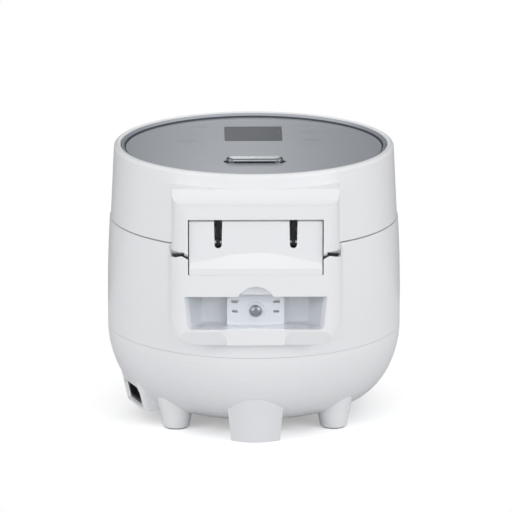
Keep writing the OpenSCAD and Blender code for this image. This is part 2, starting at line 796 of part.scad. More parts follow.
cover_t = 1.6;
cover_front_y = hinge_y - 15;
cover_back_y = hinge_y + 5;
slot_top_half = 3.5;
slot_bottom_half = 2.7;
slot_bottom_z = hinge_z - 3.9;
ear_x = [40, 18];
ear_reach = cover_back_y - cover_t - fit - hinge_y;

// Section of the hinge cover's tower, inset from its outer surface
module tower_section(inset) intersection() {
    translate([hinge_y, hinge_z]) circle(cover_r - inset);
    translate([cover_front_y + inset, deck_z + 0.2])
        square([cover_back_y - cover_front_y - 2 * inset, 60]);
}

arch_drop = 7.2;
arch_steps = 16;
apron_z = skirt_z + 5.2;

// Height of the arched ledge where the apron leaves the tower
function arch_z(x) = ledge_z + 0.4
    - arch_drop * (1 - cos(180 * pow(abs(x) / cover_half, 1.2))) / 2;

// Apron of the cover: a wall, and a slope from the arched ledge out to the housing's back face
module apron() {
    low = skirt_z + run_fit;
    front = cover_back_y - cover_t / 2;
    along_y(cover_back_y - cover_t, cover_back_y) translate([-cover_half, low])
        square([2 * cover_half, deck_z + 4 - low]);
    skin([for (i = [-arch_steps:arch_steps]) let (x = cover_half * i / arch_steps)
        [[x, front, low], [x, front, arch_z(x)], [x, cover_back_y, arch_z(x)],
         [x, housing_y, apron_z], [x, housing_y, low]]]);
}

module hinge_cover() color(white) difference() {
    union() {
        difference() {
            along_x(-cover_half, cover_half) tower_section(0);
            along_x(-cover_half + cover_t, cover_half - cover_t) {
                tower_section(cover_t);
                translate([cover_front_y + cover_t, deck_z - 1])
                    square([cover_back_y - cover_front_y - 2 * cover_t, 8]);
            }
        }
        apron();
    }
    both_sides() translate([arm_x, 0, 0]) arm_slot();
}

module arm_slot() {
    along_y(hinge_y - 4, hinge_y + 20) polygon([
        [-slot_bottom_half, slot_bottom_z + slot_bottom_half],
        [slot_bottom_half, slot_bottom_z + slot_bottom_half],
        [slot_top_half, hinge_z + 30], [-slot_top_half, hinge_z + 30]]);
    along_y(hinge_y - 4, hinge_y + 20)
        translate([0, slot_bottom_z + slot_bottom_half]) circle(slot_bottom_half);
    along_y(cover_front_y - 5, hinge_y + 1)
        translate([-slot_top_half, hinge_z + 9]) square([2 * slot_top_half, 20]);
}

module hinge_bracket() color(steel) difference() {
    union() {
        translate([-ear_x[0], hinge_y - bracket_reach[0], bracket_z])
            cube([2 * ear_x[0], bracket_reach[0] + bracket_reach[1], bracket_t]);
        both_sides() for (x = ear_x) {
            along_x(x - bracket_t, x) intersection() {
                union() {
                    translate([hinge_y, hinge_z]) circle(5);
                    polygon([[hinge_y - 12, bracket_z], [hinge_y + 2, bracket_z],
                        [hinge_y + 5, hinge_z], [hinge_y - 5, hinge_z], [hinge_y - 12, hinge_z - 10]]);
                }
                translate([hinge_y - 20, bracket_z]) square([20 + ear_reach, 40]);
            }
        }
    }
    bracket_screw_places() translate([0, 0, bracket_z - 1]) cylinder(r = 1.7, h = 4);
    about_hinge(pin_r + eps, -60, 60);
}

module hinge_pin() color(steel) {
    about_hinge(pin_r, -ear_x[0] - 1.4, ear_x[0] + 1.4);
    both_sides() about_hinge(pin_r + 1, ear_x[0] + fit, ear_x[0] + 1.4);
}

module hinge_springs() color("#3a3c40") both_sides()
    translate([ear_x[1] + 0.5, hinge_y, hinge_z]) rotate([0, 90, 0])
        coil(pin_r + 0.7, 0.5, 1.06, 6.4);

module bracket_screws() color(steel) bracket_screw_places()
    translate([0, 0, bracket_z + bracket_t]) screw(1.45, 9, 3, 1.8);

module bay_screw() color(steel)
    translate([0, bay_block_y, bay_screw_z]) rotate([-90, 0, 0]) screw(bay_shank_r, 7, 4.7, 2.6);

// ---------------------------------------------------------------- dew collector

module dew_collector() color(clear_plastic) {
    front_y = housing_y - 0.6;
    notch_half = bay_block_half + 1.4;
    notch_y = bay_block_y + 3.2;
    cup_top_z = bay_top_z - slide_fit;
    difference() {
        bay_space(-slide_fit, bay_back_y + 2, front_y, cup_top_z);
        difference() {
            bay_space(-slide_fit - cup_wall, bay_back_y + 2 + cup_wall, front_y - cup_wall,
                cup_top_z + 1);
            along_y(0, notch_y + cup_wall) translate([-notch_half - cup_wall, 0])
                square([2 * (notch_half + cup_wall), 200]);
        }
        along_y(0, notch_y) translate([-notch_half, 0]) square([2 * notch_half, 200]);
    }
    difference() {
        along_y(front_y - cup_wall, front_y) grip_circle(0);
        translate([0, 0, cup_top_z - 50 - cup_wall]) cube([100, 400, 100], center = true);
    }
}

// ---------------------------------------------------------------- latch

button_face_r = body_radius(button_z) + 1.4;
flange_y = -body_radius(button_z) + wall + 3.2;

module latch_button() color(white) {
    intersection() {
        along_y(-body_r - 5, flange_y) translate([0, button_z])
            rounded_rect(button_w, button_h, button_h / 2 - 0.4);
        cylinder(r = button_face_r, h = 200);
    }
    along_y(flange_y - 1.4, flange_y) translate([0, button_z])
        rounded_rect(button_w + 4, button_h + 4, 3);
    along_y(flange_y - 1, latch_y - 1.7 - 0.1) translate([0, button_z]) square([6, 6], center = true);
}

hook_stem = 3;
hook_tip_y = latch_y - 5.2;
nose_z = body_top_z - 8.5;

module latch_hook() color(dark) difference() {
    along_x(-hook_half, hook_half) {
        translate([latch_y, latch_z]) circle(4);
        translate([latch_y - hook_stem / 2, latch_z]) square([hook_stem, nose_z - latch_z + 3]);
        polygon([[hook_tip_y, nose_z], [latch_y, nose_z], [latch_y, nose_z + 3.2],
            [hook_tip_y + 2.6, nose_z + 3.2], [hook_tip_y, nose_z + 1.4]]);
    }
    latch_axis(1.5 + run_fit, 20);
}

module latch_pin() color(steel) latch_axis(1.5, hook_half + 7);

module latch_spring() color(steel)
    translate([hook_half + 0.3, latch_y, latch_z]) rotate([0, 90, 0]) coil(2.6, 0.4, 0.82, 2.9);

// ---------------------------------------------------------------- lid shell

crest_r = lid_top_r - rim_r;
crest_z = rim_z - rim_r;
ledge_w = 3.4;

panel_gap = 0.5;

// Section of the lid ring with everything inside it still solid
module lid_ring_section() polygon(concat(
    [[0, lid_z], [lid_r, lid_z], [lid_top_r, crest_z]],
    [for (a = [10:10:90]) [crest_r + rim_r * cos(a), crest_z + rim_r * sin(a)]],
    [[panel_r + panel_gap + 0.8, rim_z - 0.2], [panel_r + panel_gap, rim_z - 0.7],
     [panel_r + panel_gap, panel_seat_z], [panel_r - ledge_w, panel_seat_z], [0, panel_seat_z]]));

module lid_cavity() rotate_extrude() polygon([
    [0, lid_z - 1], [lid_r - wall, lid_z - 1], [lid_top_r - wall, panel_seat_z - 8],
    [panel_r - ledge_w, panel_seat_z - 2.4], [panel_r - ledge_w, panel_seat_z + 1],
    [0, panel_seat_z + 1]]);

box_face_y = housing_y + 0.8;
box_inner_y = hinge_y + 6;
box_lower_z = hinge_z + 19.3;
box_edge_z = hinge_z + 30.2;
scoop_depth = 14.6;
scoop_rise = 9.8;
tab_r = 11.6;
tab_w = 3;
tab_rise = 1.2;

// Hinge box: plan, side section with its scooped top, and nothing below the lid's edge
module lid_box() intersection() {
    translate([0, 0, lid_z]) linear_extrude(60) mirror([0, 1])
        round_bottomed(box_half, -box_face_y, -60, rear_corner_r);
    along_x(-box_half, box_half) polygon(concat(
        [[60, lid_z], [box_face_y, lid_z]],
        [for (i = [0:8]) let (t = i / 8)
            [box_face_y - scoop_depth * t, box_edge_z + scoop_rise * pow(t, 1.8)]],
        [[60, box_edge_z + scoop_rise]]));
}

// Lower corner of the box beside the cover, rounded about the hinge axis
module leg_tab() intersection() {
    translate([cut_half, hinge_y, hinge_z]) rotate([0, 90, 0]) cylinder(
        r1 = tab_r, r2 = tab_r - tab_rise, h = tab_w);
    translate([0, hinge_y, lid_z - 6]) cube([box_half, box_face_y - hinge_y, 6 + eps]);
}

module box_cavity() along_x(-box_half + 14, box_half - 14) polygon([
    [hinge_y - 16, box_lower_z + 3.4], [box_inner_y, box_lower_z + 3.4],
    [box_inner_y, box_edge_z - 2.6], [box_inner_y - 9, box_edge_z + 3.6],
    [hinge_y - 16, box_edge_z + 3.6]]);

// Clear space about the hinge axis inside the lid, open at the back below the box
module tunnel_space(r, extra) {
    about_hinge(r, -cut_half - extra, cut_half + extra);
    along_x(-cut_half - extra, cut_half + extra)
        translate([hinge_y - 17, lid_z - 20]) square([40, box_lower_z - lid_z + 20 + extra]);
}

rib_t = 2;
post_r = 4.4;
lid_screw_r = lid_r - wall - post_r + 0.6;
rivet_places = [[-20, 27], [-9, 27]];

module lid_shell() color(white) difference() {
    union() {
        difference() {
            union() {
                rotate_extrude() lid_ring_section();
                lid_box();
                both_sides() leg_tab();
            }
            difference() {
                lid_cavity();
                both_sides() translate([cut_half + 0.3, hinge_y - 11, 0]) cube([30, 40, 300]);
            }
            box_cavity();
        }
        intersection() {
            along_x(-cut_half - 2, cut_half + 2) difference() {
                translate([hinge_y, hinge_z]) circle(tunnel_r + 2);
                translate([hinge_y + 4, hinge_z - 40]) square([60, 60]);
            }
            translate([-100, 60, lid_z]) cube([200, box_inner_y + 1 - 60, 100]);
        }
        both_sides() for (side = [-1, 1])
            along_x(arm_x + side * (arm_t / 2 + rib_t / 2 + 0.1) - rib_t / 2,
                    arm_x + side * (arm_t / 2 + rib_t / 2 + 0.1) + rib_t / 2)
                polygon([[hinge_y - 26, liner_top_z + 0.3], [hinge_y - 26, hinge_z + 33],
                    [hinge_y - 4, hinge_z + 33], [hinge_y + 6.4, hinge_z + 27],
                    [hinge_y + 6.4, hinge_z + 19]]);
        screw_posts();
        catch_ribs();
    }
    intersection() {
        tunnel_space(tunnel_r, 0);
        translate([-100, 0, 0]) cube([200, 200, box_lower_z + 1.4]);
    }
    both_sides() along_x(arm_x - arm_t / 2 - 0.1, arm_x + arm_t / 2 + 0.1)
        arm_outline(fit);
    rivet_bores(2);
    for (a = lid_screw_turns) rotate([0, 0, a]) translate([lid_screw_r, 0, liner_z])
        cylinder(r = 1.5, h = 16);
}

lid_screw_turns = [-65, -25, 205, 245, 15, 165];

module screw_posts() for (a = lid_screw_turns) rotate([0, 0, a])
    translate([lid_screw_r, 0, liner_z + liner_t]) difference() {
        cylinder(r = post_r, h = 16);
        translate([-20, -10, 12]) rotate([0, -45, 0]) cube([30, 20, 20]);
    }

// Pair of ribs that hold the catch at the front of the lid
module catch_ribs() both_sides() translate([7.2, -lid_r + wall - 1, liner_z + liner_t])
    cube([2, 7.4, 18]);

module rivet_bores(r) both_sides() for (p = rivet_places)
    along_x(arm_x - 6, arm_x + 6) translate([hinge_y + p[0], hinge_z + p[1]]) circle(r);

// Outline of a hinge arm above its knuckle, grown by an amount
module arm_outline(grow) translate([hinge_y, hinge_z]) polygon([
    [-25 - grow, 22 - grow], [-25 - grow, 31.5 + grow], [-6, 31.5 + grow], [2.2 + grow, 26 + grow],
    [2.2 + grow, 0], [-4.1 - grow, 0], [-5.6 - grow, 14], [-5.6 - grow, 22 - grow]]);

module hinge_arms() color(steel) both_sides() difference() {
    along_x(arm_x - arm_t / 2, arm_x + arm_t / 2) {
        translate([hinge_y, hinge_z]) circle(4.2);
        arm_outline(0);
    }
    about_hinge(pin_r + run_fit, 0, 60);
    rivet_bores(2);
}

module arm_rivets() color(steel) both_sides() for (p = rivet_places)
    along_x(arm_x - arm_t / 2 - rib_t - 0.6, arm_x + arm_t / 2 + rib_t + 0.6)
        translate([hinge_y + p[0], hinge_z + p[1]]) circle(2 - eps);

// ---------------------------------------------------------------- lid top

vent_end_gap = 2;

module vent_outline(grow) rounded_rect(vent_l + 2 * grow, vent_w + 2 * grow, vent_w / 2 + grow - 0.1);

// Outline of the opening that the vent cap sits in, longer than the cap at both ends
module vent_opening(grow) rounded_rect(vent_l + 2 * (vent_end_gap + grow),
    vent_w + 2 * (slide_fit + grow), vent_w / 2 + slide_fit + grow - 0.1);

post_x = 56;
post_y = [-72, 8];
post_places = [for (x = [-post_x, post_x], y = post_y) [x, y]];

module top_panel() color(panel_grey) difference() {
    union() {
        rotate_extrude() polygon(concat(
            [[0, panel_seat_z], [panel_r, panel_seat_z], [panel_r, panel_z + panel_upturn - 0.2],
             [panel_r - 0.3, panel_z + panel_upturn], [panel_r - 0.8, panel_z + panel_upturn - 0.2]],
            [for (a = [-20:-14:-90]) [panel_r - 4.3 + 2.2 * cos(a), panel_z + 2.2 + 2.2 * sin(a)]],
            [[0, panel_z]]));
        for (p = post_places) translate([p[0], p[1], control_z + board_t])
            cylinder(r = 3.2, h = panel_seat_z - control_z - board_t + eps);
    }
    translate([0, window_y, panel_z - 0.9]) linear_extrude(2) rounded_rect(window_w, window_l, 1.2);
    translate([0, window_y, panel_seat_z - 1]) linear_extrude(9)
        rounded_rect(window_w - 5, window_l - 5, 1);
    translate([0, vent_y, panel_seat_z - 1]) linear_extrude(9) vent_opening(0);
}

module display_window() color("#6c717b") translate([0, window_y, panel_z - 0.9])
    linear_extrude(0.9) rounded_rect(window_w - 2 * fit, window_l - 2 * fit, 1);

module display_module() color(dark) {
    top = panel_z - 0.9;
    translate([0, window_y, control_z + board_t])
        linear_extrude(top - control_z - board_t)
            rounded_rect(window_w - 5.6, window_l - 5.6, 0.8);
}

module control_board() color(board_green) difference() {
    translate([-post_x - board_margin, post_y[0] - board_margin, control_z])
        cube([2 * (post_x + board_margin), post_y[1] - post_y[0] + 2 * board_margin, board_t]);
    for (p = post_places) translate([p[0], p[1], control_z - 1]) cylinder(r = 1.4, h = 4);
}

pad_places = [for (side = [-1, 1], y = [-66, -43, -18]) [side * 45, y]];

module touch_pads() color("#55585e") for (p = pad_places)
    translate([p[0], p[1], control_z + board_t])
        cylinder(r = 4.5, h = panel_seat_z - control_z - board_t);

pocket_depth = 8;
pocket_z = panel_seat_z - pocket_depth;
duct_r = 8.4;

module vent_pocket() color(white) difference() {
    translate([0, vent_y, pocket_z]) linear_extrude(pocket_depth) vent_opening(1.6);
    translate([0, vent_y, pocket_z + 1.6]) linear_extrude(pocket_depth) vent_opening(0);
    translate([0, vent_y, pocket_z - 1]) cylinder(r = 4, h = 8);
}

vent_edge_r = 2;
vent_slit = [32, 1.1];

// Round-ended outline of the cap at a height, from the radius of its ends
function vent_row(r, z) = [for (side = [1, -1], a = [-90:10:90])
    [side * ((vent_l - vent_w) / 2 + r * cos(a)), side * r * sin(a), z]];

module vent_cap() color("#c4c7cb") translate([0, vent_y, 0]) difference() {
    cap_z = panel_z + vent_rise;
    skirt_z0 = pocket_z + 1.6 + 0.3;
    skin(concat([for (a = [90:-22.5:0]) vent_row(vent_w / 2 - vent_edge_r * (1 - cos(a)),
        cap_z - vent_edge_r * (1 - sin(a)))], [vent_row(vent_w / 2, skirt_z0)]));
    translate([0, 0, skirt_z0 - 1]) linear_extrude(cap_z - 0.6 - skirt_z0) vent_outline(-1.6);
    translate([-vent_slit[0] / 2, 0, panel_z + 0.1]) cube([vent_slit[0], vent_w, vent_slit[1]]);
}

// ---------------------------------------------------------------- lid underside

module steam_duct() color(white) translate([0, vent_y, 0]) difference() {
    union() {
        translate([0, 0, liner_top_z]) cylinder(r = duct_r, h = pocket_z - liner_top_z);
        translate([0, 0, liner_top_z]) cylinder(r = duct_r + 3, h = 2);
    }
    translate([0, 0, liner_top_z - 1]) cylinder(r = duct_r - 1.8, h = 90);
}

module steam_seal() color(silicone) translate([0, vent_y, 0])
    ring(duct_r - 1.4, duct_r + 1.6, plate_z + 1.2, liner_top_z - 2);

liner_r = lid_r - wall - 0.3;
liner_dome_r = pot_flange_r - 2.2;

module lid_liner() color("#e3e5e8") difference() {
    rotate_extrude() polygon([
        [liner_dome_r, liner_z], [liner_r, liner_z], [liner_r, liner_z + liner_t],
        [liner_dome_r + 2, liner_z + liner_t], [liner_dome_r + 0.2, liner_top_z],
        [0, liner_top_z], [0, liner_top_z - 2], [liner_dome_r - 1.8, liner_top_z - 2],
        [liner_dome_r, liner_z + 2]]);
    tunnel_space(tunnel_r + 2 + fit, 2 + fit);
    both_sides() translate([cut_half, hinge_y - 11 - fit, 0]) cube([30, 40, 300]);
    translate([0, vent_y, 0]) cylinder(r = duct_r - 1.8, h = 200);
    cylinder(r = 4, h = 200);
    translate([-9.4, -body_r, liner_z - 1]) cube([18.8, body_r + latch_y - 1.2, 20]);
    for (a = lid_screw_turns) rotate([0, 0, a]) translate([lid_screw_r, 0, liner_z - 1]) {
        cylinder(r = 1.7, h = 9);
        cylinder(r = 3, h = 2.8);
    }
}

inner_plate_r = liner_dome_r - 5;
plate_step_r = inner_plate_r - 11.4;
plate_dish_r = plate_step_r - 10;
steam_holes = 6;

module inner_plate() color(aluminium) difference() {
    rotate_extrude() polygon([
        [0, plate_z], [plate_dish_r, plate_z], [plate_step_r, plate_z - 2],
        [inner_plate_r, plate_z - 2], [inner_plate_r, plate_z - 0.8],
        [plate_step_r + 0.4, plate_z - 0.8], [plate_dish_r + 0.4, plate_z + 1.2],
        [0, plate_z + 1.2]]);
    for (a = [0:360 / steam_holes:359]) translate([0, vent_y, 0]) rotate([0, 0, a])
        translate([4, 0, plate_z - 1]) cylinder(r = 1.5, h = 4, $fn = 24);
    translate([0, 0, plate_z - 3]) cylinder(r = 4, h = 8);
}

gasket_r = pot_flange_r - 1;

module pot_gasket() color(silicone) difference() {
    rotate_extrude() polygon([
        [inner_plate_r - 2.8, plate_z - 3.4], [inner_plate_r - 2.8, plate_z + 0.8],
        [inner_plate_r + 2, plate_z + 0.8], [inner_plate_r + 2.4, liner_z - 0.4],
        [gasket_r, flange_top_z + 1.2], [gasket_r - 0.4, flange_top_z + 0.3],
        [gasket_r - 1.6, flange_top_z + 0.4], [inner_plate_r + 1.2, plate_z - 4.2]]);
    ring(plate_step_r, inner_plate_r, plate_z - 2, plate_z - 0.8);
}

module plate_knob() color(silicone) rotate_extrude() polygon([
    [0, plate_z - 4], [7, plate_z - 4], [8, plate_z - 3], [8, plate_z - 0.1], [3.9, plate_z - 0.1],
    [3.9, plate_z + 1.3], [6, plate_z + 1.3], [6, liner_top_z - 2.1], [3.9, liner_top_z - 2.1],
    [3.9, liner_top_z + 0.1], [5.4, liner_top_z + 0.1], [4.2, liner_top_z + 2.4], [0, liner_top_z + 2.4]]);

catch_y = latch_y - 4;

module lid_catch() color(steel) along_y(catch_y, catch_y + 2) difference() {
    translate([-7, nose_z - 4]) square([14, liner_z + 18 - nose_z]);
    translate([-5, nose_z - 0.5]) square([10, 5.4]);
}

module lid_screws() color(steel) for (a = lid_screw_turns) rotate([0, 0, a])
    translate([lid_screw_r, 0, liner_z + 1.8]) rotate([180, 0, 0]) screw(1.45, 12, 2.8, 1.6);

// ---------------------------------------------------------------- assembly

base_shell();
foot_pads();
rear_foot();
base_screws();
body_shell();
deck_ring();
inner_casing();
heating_plate();
heater_element();
thermal_fuse();
sensor_guide();
sensor_spring();
sensor_cap();
inner_pot();
power_board();
board_parts();
inlet_socket();
inlet_pins();
hinge_cover();
hinge_bracket();
hinge_pin();
hinge_springs();
bracket_screws();
bay_screw();
dew_collector();
latch_button();
latch_hook();
latch_pin();
latch_spring();
lid_shell();
top_panel();
display_window();
display_module();
control_board();
touch_pads();
vent_pocket();
vent_cap();
steam_duct();
steam_seal();
lid_liner();
inner_plate();
pot_gasket();
plate_knob();
lid_catch();
lid_screws();
hinge_arms();
arm_rivets();
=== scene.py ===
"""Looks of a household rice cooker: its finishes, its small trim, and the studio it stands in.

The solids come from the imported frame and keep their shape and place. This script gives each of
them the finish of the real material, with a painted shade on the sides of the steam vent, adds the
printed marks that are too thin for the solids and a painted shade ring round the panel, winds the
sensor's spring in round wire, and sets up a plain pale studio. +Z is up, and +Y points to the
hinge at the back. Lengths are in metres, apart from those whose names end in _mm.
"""

import json
import logging
import math
from dataclasses import dataclass, field
from enum import Enum
from typing import Any

import bmesh
import bpy
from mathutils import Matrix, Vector

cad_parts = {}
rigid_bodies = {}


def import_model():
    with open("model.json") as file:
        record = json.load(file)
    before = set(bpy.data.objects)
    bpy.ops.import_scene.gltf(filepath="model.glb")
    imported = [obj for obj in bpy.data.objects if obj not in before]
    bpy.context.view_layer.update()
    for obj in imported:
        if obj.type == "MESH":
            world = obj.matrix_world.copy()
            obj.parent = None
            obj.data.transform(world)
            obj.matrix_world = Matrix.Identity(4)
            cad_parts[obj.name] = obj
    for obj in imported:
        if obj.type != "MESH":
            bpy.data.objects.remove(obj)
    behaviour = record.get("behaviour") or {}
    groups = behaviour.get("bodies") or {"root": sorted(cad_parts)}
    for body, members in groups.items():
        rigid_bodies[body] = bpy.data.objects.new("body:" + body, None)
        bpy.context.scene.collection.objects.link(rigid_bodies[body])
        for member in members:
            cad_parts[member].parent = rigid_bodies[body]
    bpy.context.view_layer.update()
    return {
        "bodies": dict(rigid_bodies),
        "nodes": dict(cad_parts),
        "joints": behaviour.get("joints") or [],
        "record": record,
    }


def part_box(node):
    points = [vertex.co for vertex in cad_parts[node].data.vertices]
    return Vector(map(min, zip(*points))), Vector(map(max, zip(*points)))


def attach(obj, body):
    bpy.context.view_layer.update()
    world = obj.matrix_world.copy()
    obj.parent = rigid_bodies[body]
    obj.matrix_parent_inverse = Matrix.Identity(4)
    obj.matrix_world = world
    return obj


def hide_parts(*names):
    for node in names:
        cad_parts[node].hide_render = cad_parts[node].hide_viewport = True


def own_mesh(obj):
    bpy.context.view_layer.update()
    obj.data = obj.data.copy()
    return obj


LOG = logging.getLogger("rice_cooker")
MM = 0.001
WHITE = "#FFFFFF"

Tree = bpy.types.NodeTree
Socket = bpy.types.NodeSocket
Point = tuple[float, float, float]


def linear(hex_colour: str) -> tuple[float, float, float, float]:
    """Turns an sRGB hex colour into linear RGBA.

    Args:
        hex_colour: Six hex digits, with or without a leading hash.

    Returns:
        Red, green, blue and an alpha of 1, in linear light.
    """
    digits = hex_colour.lstrip("#")
    channels = [int(digits[i : i + 2], 16) / 255 for i in (0, 2, 4)]
    toned = [c / 12.92 if c <= 0.04045 else ((c + 0.055) / 1.055) ** 2.4 for c in channels]
    return (*toned, 1.0)


def add(
    tree: Tree, kind: str, inputs: dict[str | int, Any] | None = None, **settings: Any
) -> bpy.types.Node:
    """Adds one shader node, with its settings, its values and its links.

    Args:
        tree: The node tree that the node joins.
        kind: Blender's name of the node type.
        inputs: Input name or number, to a value or to the output socket that feeds it.
        **settings: Properties of the node itself.

    Returns:
        The new node.
    """
    node = tree.nodes.new(kind)
    for name, value in settings.items():
        setattr(node, name, value)
    for key, value in (inputs or {}).items():
        if isinstance(value, Socket):
            tree.links.new(value, node.inputs[key])
        else:
            node.inputs[key].default_value = value
    return node


def blank_tree(owner: bpy.types.Material | bpy.types.World) -> Tree:
    """Empties the node tree of a material or of the world.

    Args:
        owner: The material or the world, which is set to use nodes.

    Returns:
        Its node tree, with nothing in it.
    """
    owner.use_nodes = True
    owner.node_tree.nodes.clear()
    return owner.node_tree


def stand(name: str, data: bpy.types.ID) -> bpy.types.Object:
    """Puts an object into the scene.

    Args:
        name: Name of the object.
        data: Its mesh, camera or lamp.

    Returns:
        The object.
    """
    thing = bpy.data.objects.new(name, data)
    bpy.context.scene.collection.objects.link(thing)
    return thing


def loft(
    form: bmesh.types.BMesh, sections: list[list[Point]], ring: bool = False, smooth: bool = False
) -> None:
    """Joins sections, each a closed loop of points, into one solid.

    Args:
        form: The mesh that the solid joins.
        sections: The loops, in order along the solid and with as many points each.
        ring: True where the last section meets the first, and False where both ends are capped.
        smooth: True where the skin between the sections is shaded smooth.
    """
    loops = [[form.verts.new(point) for point in section] for section in sections]
    following = loops[1:] + loops[:1] if ring else loops[1:]
    for a, b in zip(loops, following):
        for i in range(len(a)):
            j = (i + 1) % len(a)
            form.faces.new((a[i], a[j], b[j], b[i])).smooth = smooth
    if not ring:
        form.faces.new(loops[0])
        form.faces.new(list(reversed(loops[-1])))


class Grain(Enum):
    """Pattern that the making of a surface leaves in it."""

    PEEL = "polished mould"
    SPARK = "spark-eroded mould"
    BRUSHED = "brushed"
    TURNED = "turned"
    ROLLED = "rolled sheet"
    SPECKLED = "sprayed coating"


# Octaves of noise in the grains that are noise: few for an even skin, many for a rough one.
GRAIN_DETAIL = {Grain.PEEL: 1.0, Grain.SPARK: 5.0, Grain.BRUSHED: 4.0, Grain.ROLLED: 3.0}
# Width of a brushed line over its length.
BRUSH_ASPECT = 0.04
# Distance between the rings of a wave texture of scale 1, and how far they waver.
RING_PITCH = math.pi / 10
RING_WAVER = 0.6
# Octaves and roughness of the noise that colours drift by, and the part of its range over which the
# roughness of the finish strays.
DRIFT_DETAIL = 3.0
DRIFT_ROUGHNESS = 0.55
DRIFT_RANGE = (0.3, 0.7)
# Smallest roughness that any finish falls to.
LEAST_ROUGHNESS = 0.02
# Depth to which light scatters below a plastic or rubber skin.
SCATTER_DEPTH = 2 * MM
# Rays that feel for an edge at each point of a surface.
EDGE_SAMPLES = 4
# Upward part of a normal at which a face starts to count as a top, and at which it fully does. The
# faces below it take a finish's side colour, where there is one, as a painted shade.
TOP_FACING = (0.85, 0.99)


@dataclass(frozen=True)
class Finish:
    """A finish, from the real material and the way in which its surface was made.

    Attributes:
        title: Common name of the material and of its making.
        colour: Base colour, as sRGB hex.
        shade: Second colour that the first drifts to, as sRGB hex.
        drift_mm: Width of a patch of that drift.
        metallic: 1 for bare metal, between for a metallic paint, 0 for the rest.
        roughness: Middle of the roughness.
        wear: How far the roughness strays from its middle.
        ior: Refractive index, for what isn't metal.
        grain: Pattern of the surface.
        grain_mm: Width of one mark of that pattern.
        relief_mm: Depth of that pattern.
        edge_mm: Radius of the soft edges that moulding or tumbling leaves.
        coat: Weight of a clear coat.
        coat_roughness: Roughness of that coat.
        transmission: 1 for clear stock.
        subsurface: Weight of the light that scatters below the surface.
        side: Colour of the faces that don't look up, as sRGB hex, where there is one: a painted
            shade.
    """

    title: str
    colour: str
    shade: str
    drift_mm: float = 30.0
    metallic: float = 0.0
    roughness: float = 0.35
    wear: float = 0.02
    ior: float = 1.5
    grain: Grain = Grain.PEEL
    grain_mm: float = 2.5
    relief_mm: float = 0.004
    edge_mm: float = 0.35
    coat: float = 0.0
    coat_roughness: float = 0.08
    transmission: float = 0.0
    subsurface: float = 0.0
    side: str = ""

    def build(self) -> bpy.types.Material:
        """Makes the material.

        Returns:
            The material, which has the name of the finish.
        """
        material = bpy.data.materials.new(self.title.replace(" ", "_"))
        tree = blank_tree(material)
        place = add(tree, "ShaderNodeTexCoord").outputs["Object"]
        drift = add(
            tree,
            "ShaderNodeTexNoise",
            {
                "Vector": place,
                "Scale": 1 / (self.drift_mm * MM),
                "Detail": DRIFT_DETAIL,
                "Roughness": DRIFT_ROUGHNESS,
            },
        ).outputs["Fac"]
        shader = add(
            tree,
            "ShaderNodeBsdfPrincipled",
            {
                "Base Color": self._colour(tree, drift),
                "Roughness": self._roughness(tree, drift),
                "Metallic": self.metallic,
                "IOR": self.ior,
                "Coat Weight": self.coat,
                "Coat Roughness": self.coat_roughness,
                "Transmission Weight": self.transmission,
                "Subsurface Weight": self.subsurface,
                "Subsurface Scale": SCATTER_DEPTH,
                "Normal": self._normal(tree, self._grain_height(tree, place)),
            },
        )
        surface = shader.outputs["BSDF"]
        if self.transmission:
            surface = self._open_to_lamps(tree, surface)
        add(tree, "ShaderNodeOutputMaterial", {"Surface": surface})
        return material

    def _colour(self, tree: Tree, drift: Socket) -> Socket:
        """Mixes the colour, with a painted shade for the faces that don't look up where there is
        one.

        Args:
            tree: The material's node tree.
            drift: Socket of the drift.

        Returns:
            The socket of the colour.
        """
        top = add(
            tree,
            "ShaderNodeMix",
            {"Factor": drift, "A": linear(self.colour), "B": linear(self.shade)},
            data_type="RGBA",
        ).outputs["Result"]
        if not self.side:
            return top
        # The faces that don't look up take the side colour: a painted shade, not a finish of their
        # own.
        facing = add(tree, "ShaderNodeNewGeometry").outputs["Normal"]
        upward = add(tree, "ShaderNodeSeparateXYZ", {"Vector": facing}).outputs["Z"]
        share = add(
            tree,
            "ShaderNodeMapRange",
            {"Value": upward, "From Min": TOP_FACING[0], "From Max": TOP_FACING[1]},
            interpolation_type="SMOOTHSTEP",
        ).outputs["Result"]
        return add(
            tree,
            "ShaderNodeMix",
            {"Factor": share, "A": linear(self.side), "B": top},
            data_type="RGBA",
        ).outputs["Result"]

    def _roughness(self, tree: Tree, drift: Socket) -> Socket:
        """Lets the roughness stray with the drift.

        Args:
            tree: The material's node tree.
            drift: Socket of the drift.

        Returns:
            The socket of the roughness.
        """
        return add(
            tree,
            "ShaderNodeMapRange",
            {
                "Value": drift,
                "From Min": DRIFT_RANGE[0],
                "From Max": DRIFT_RANGE[1],
                "To Min": max(self.roughness - self.wear, LEAST_ROUGHNESS),
                "To Max": self.roughness + self.wear,
            },
        ).outputs["Result"]

    def _grain_height(self, tree: Tree, place: Socket) -> Socket:
        """Draws the grain as a height from 0 to 1.

        Args:
            tree: The material's node tree.
            place: Socket with the place on the object, in metres.

        Returns:
            The socket of the height.
        """
        width = self.grain_mm * MM
        if self.grain is Grain.TURNED:
            return add(
                tree,
                "ShaderNodeTexWave",
                {"Vector": place, "Scale": RING_PITCH / width, "Distortion": RING_WAVER},
                wave_type="RINGS",
                rings_direction="Z",
            ).outputs["Fac"]
        if self.grain is Grain.SPECKLED:
            return add(
                tree,
                "ShaderNodeTexVoronoi",
                {"Vector": place, "Scale": 1 / width},
                feature="SMOOTH_F1",
            ).outputs["Distance"]
        if self.grain is Grain.BRUSHED:
            drawn_out = (BRUSH_ASPECT, 1.0, 1.0)
            place = add(
                tree, "ShaderNodeMapping", {"Vector": place, "Scale": drawn_out}
            ).outputs["Vector"]
        return add(
            tree,
            "ShaderNodeTexNoise",
            {"Vector": place, "Scale": 1 / width, "Detail": GRAIN_DETAIL[self.grain]},
        ).outputs["Fac"]

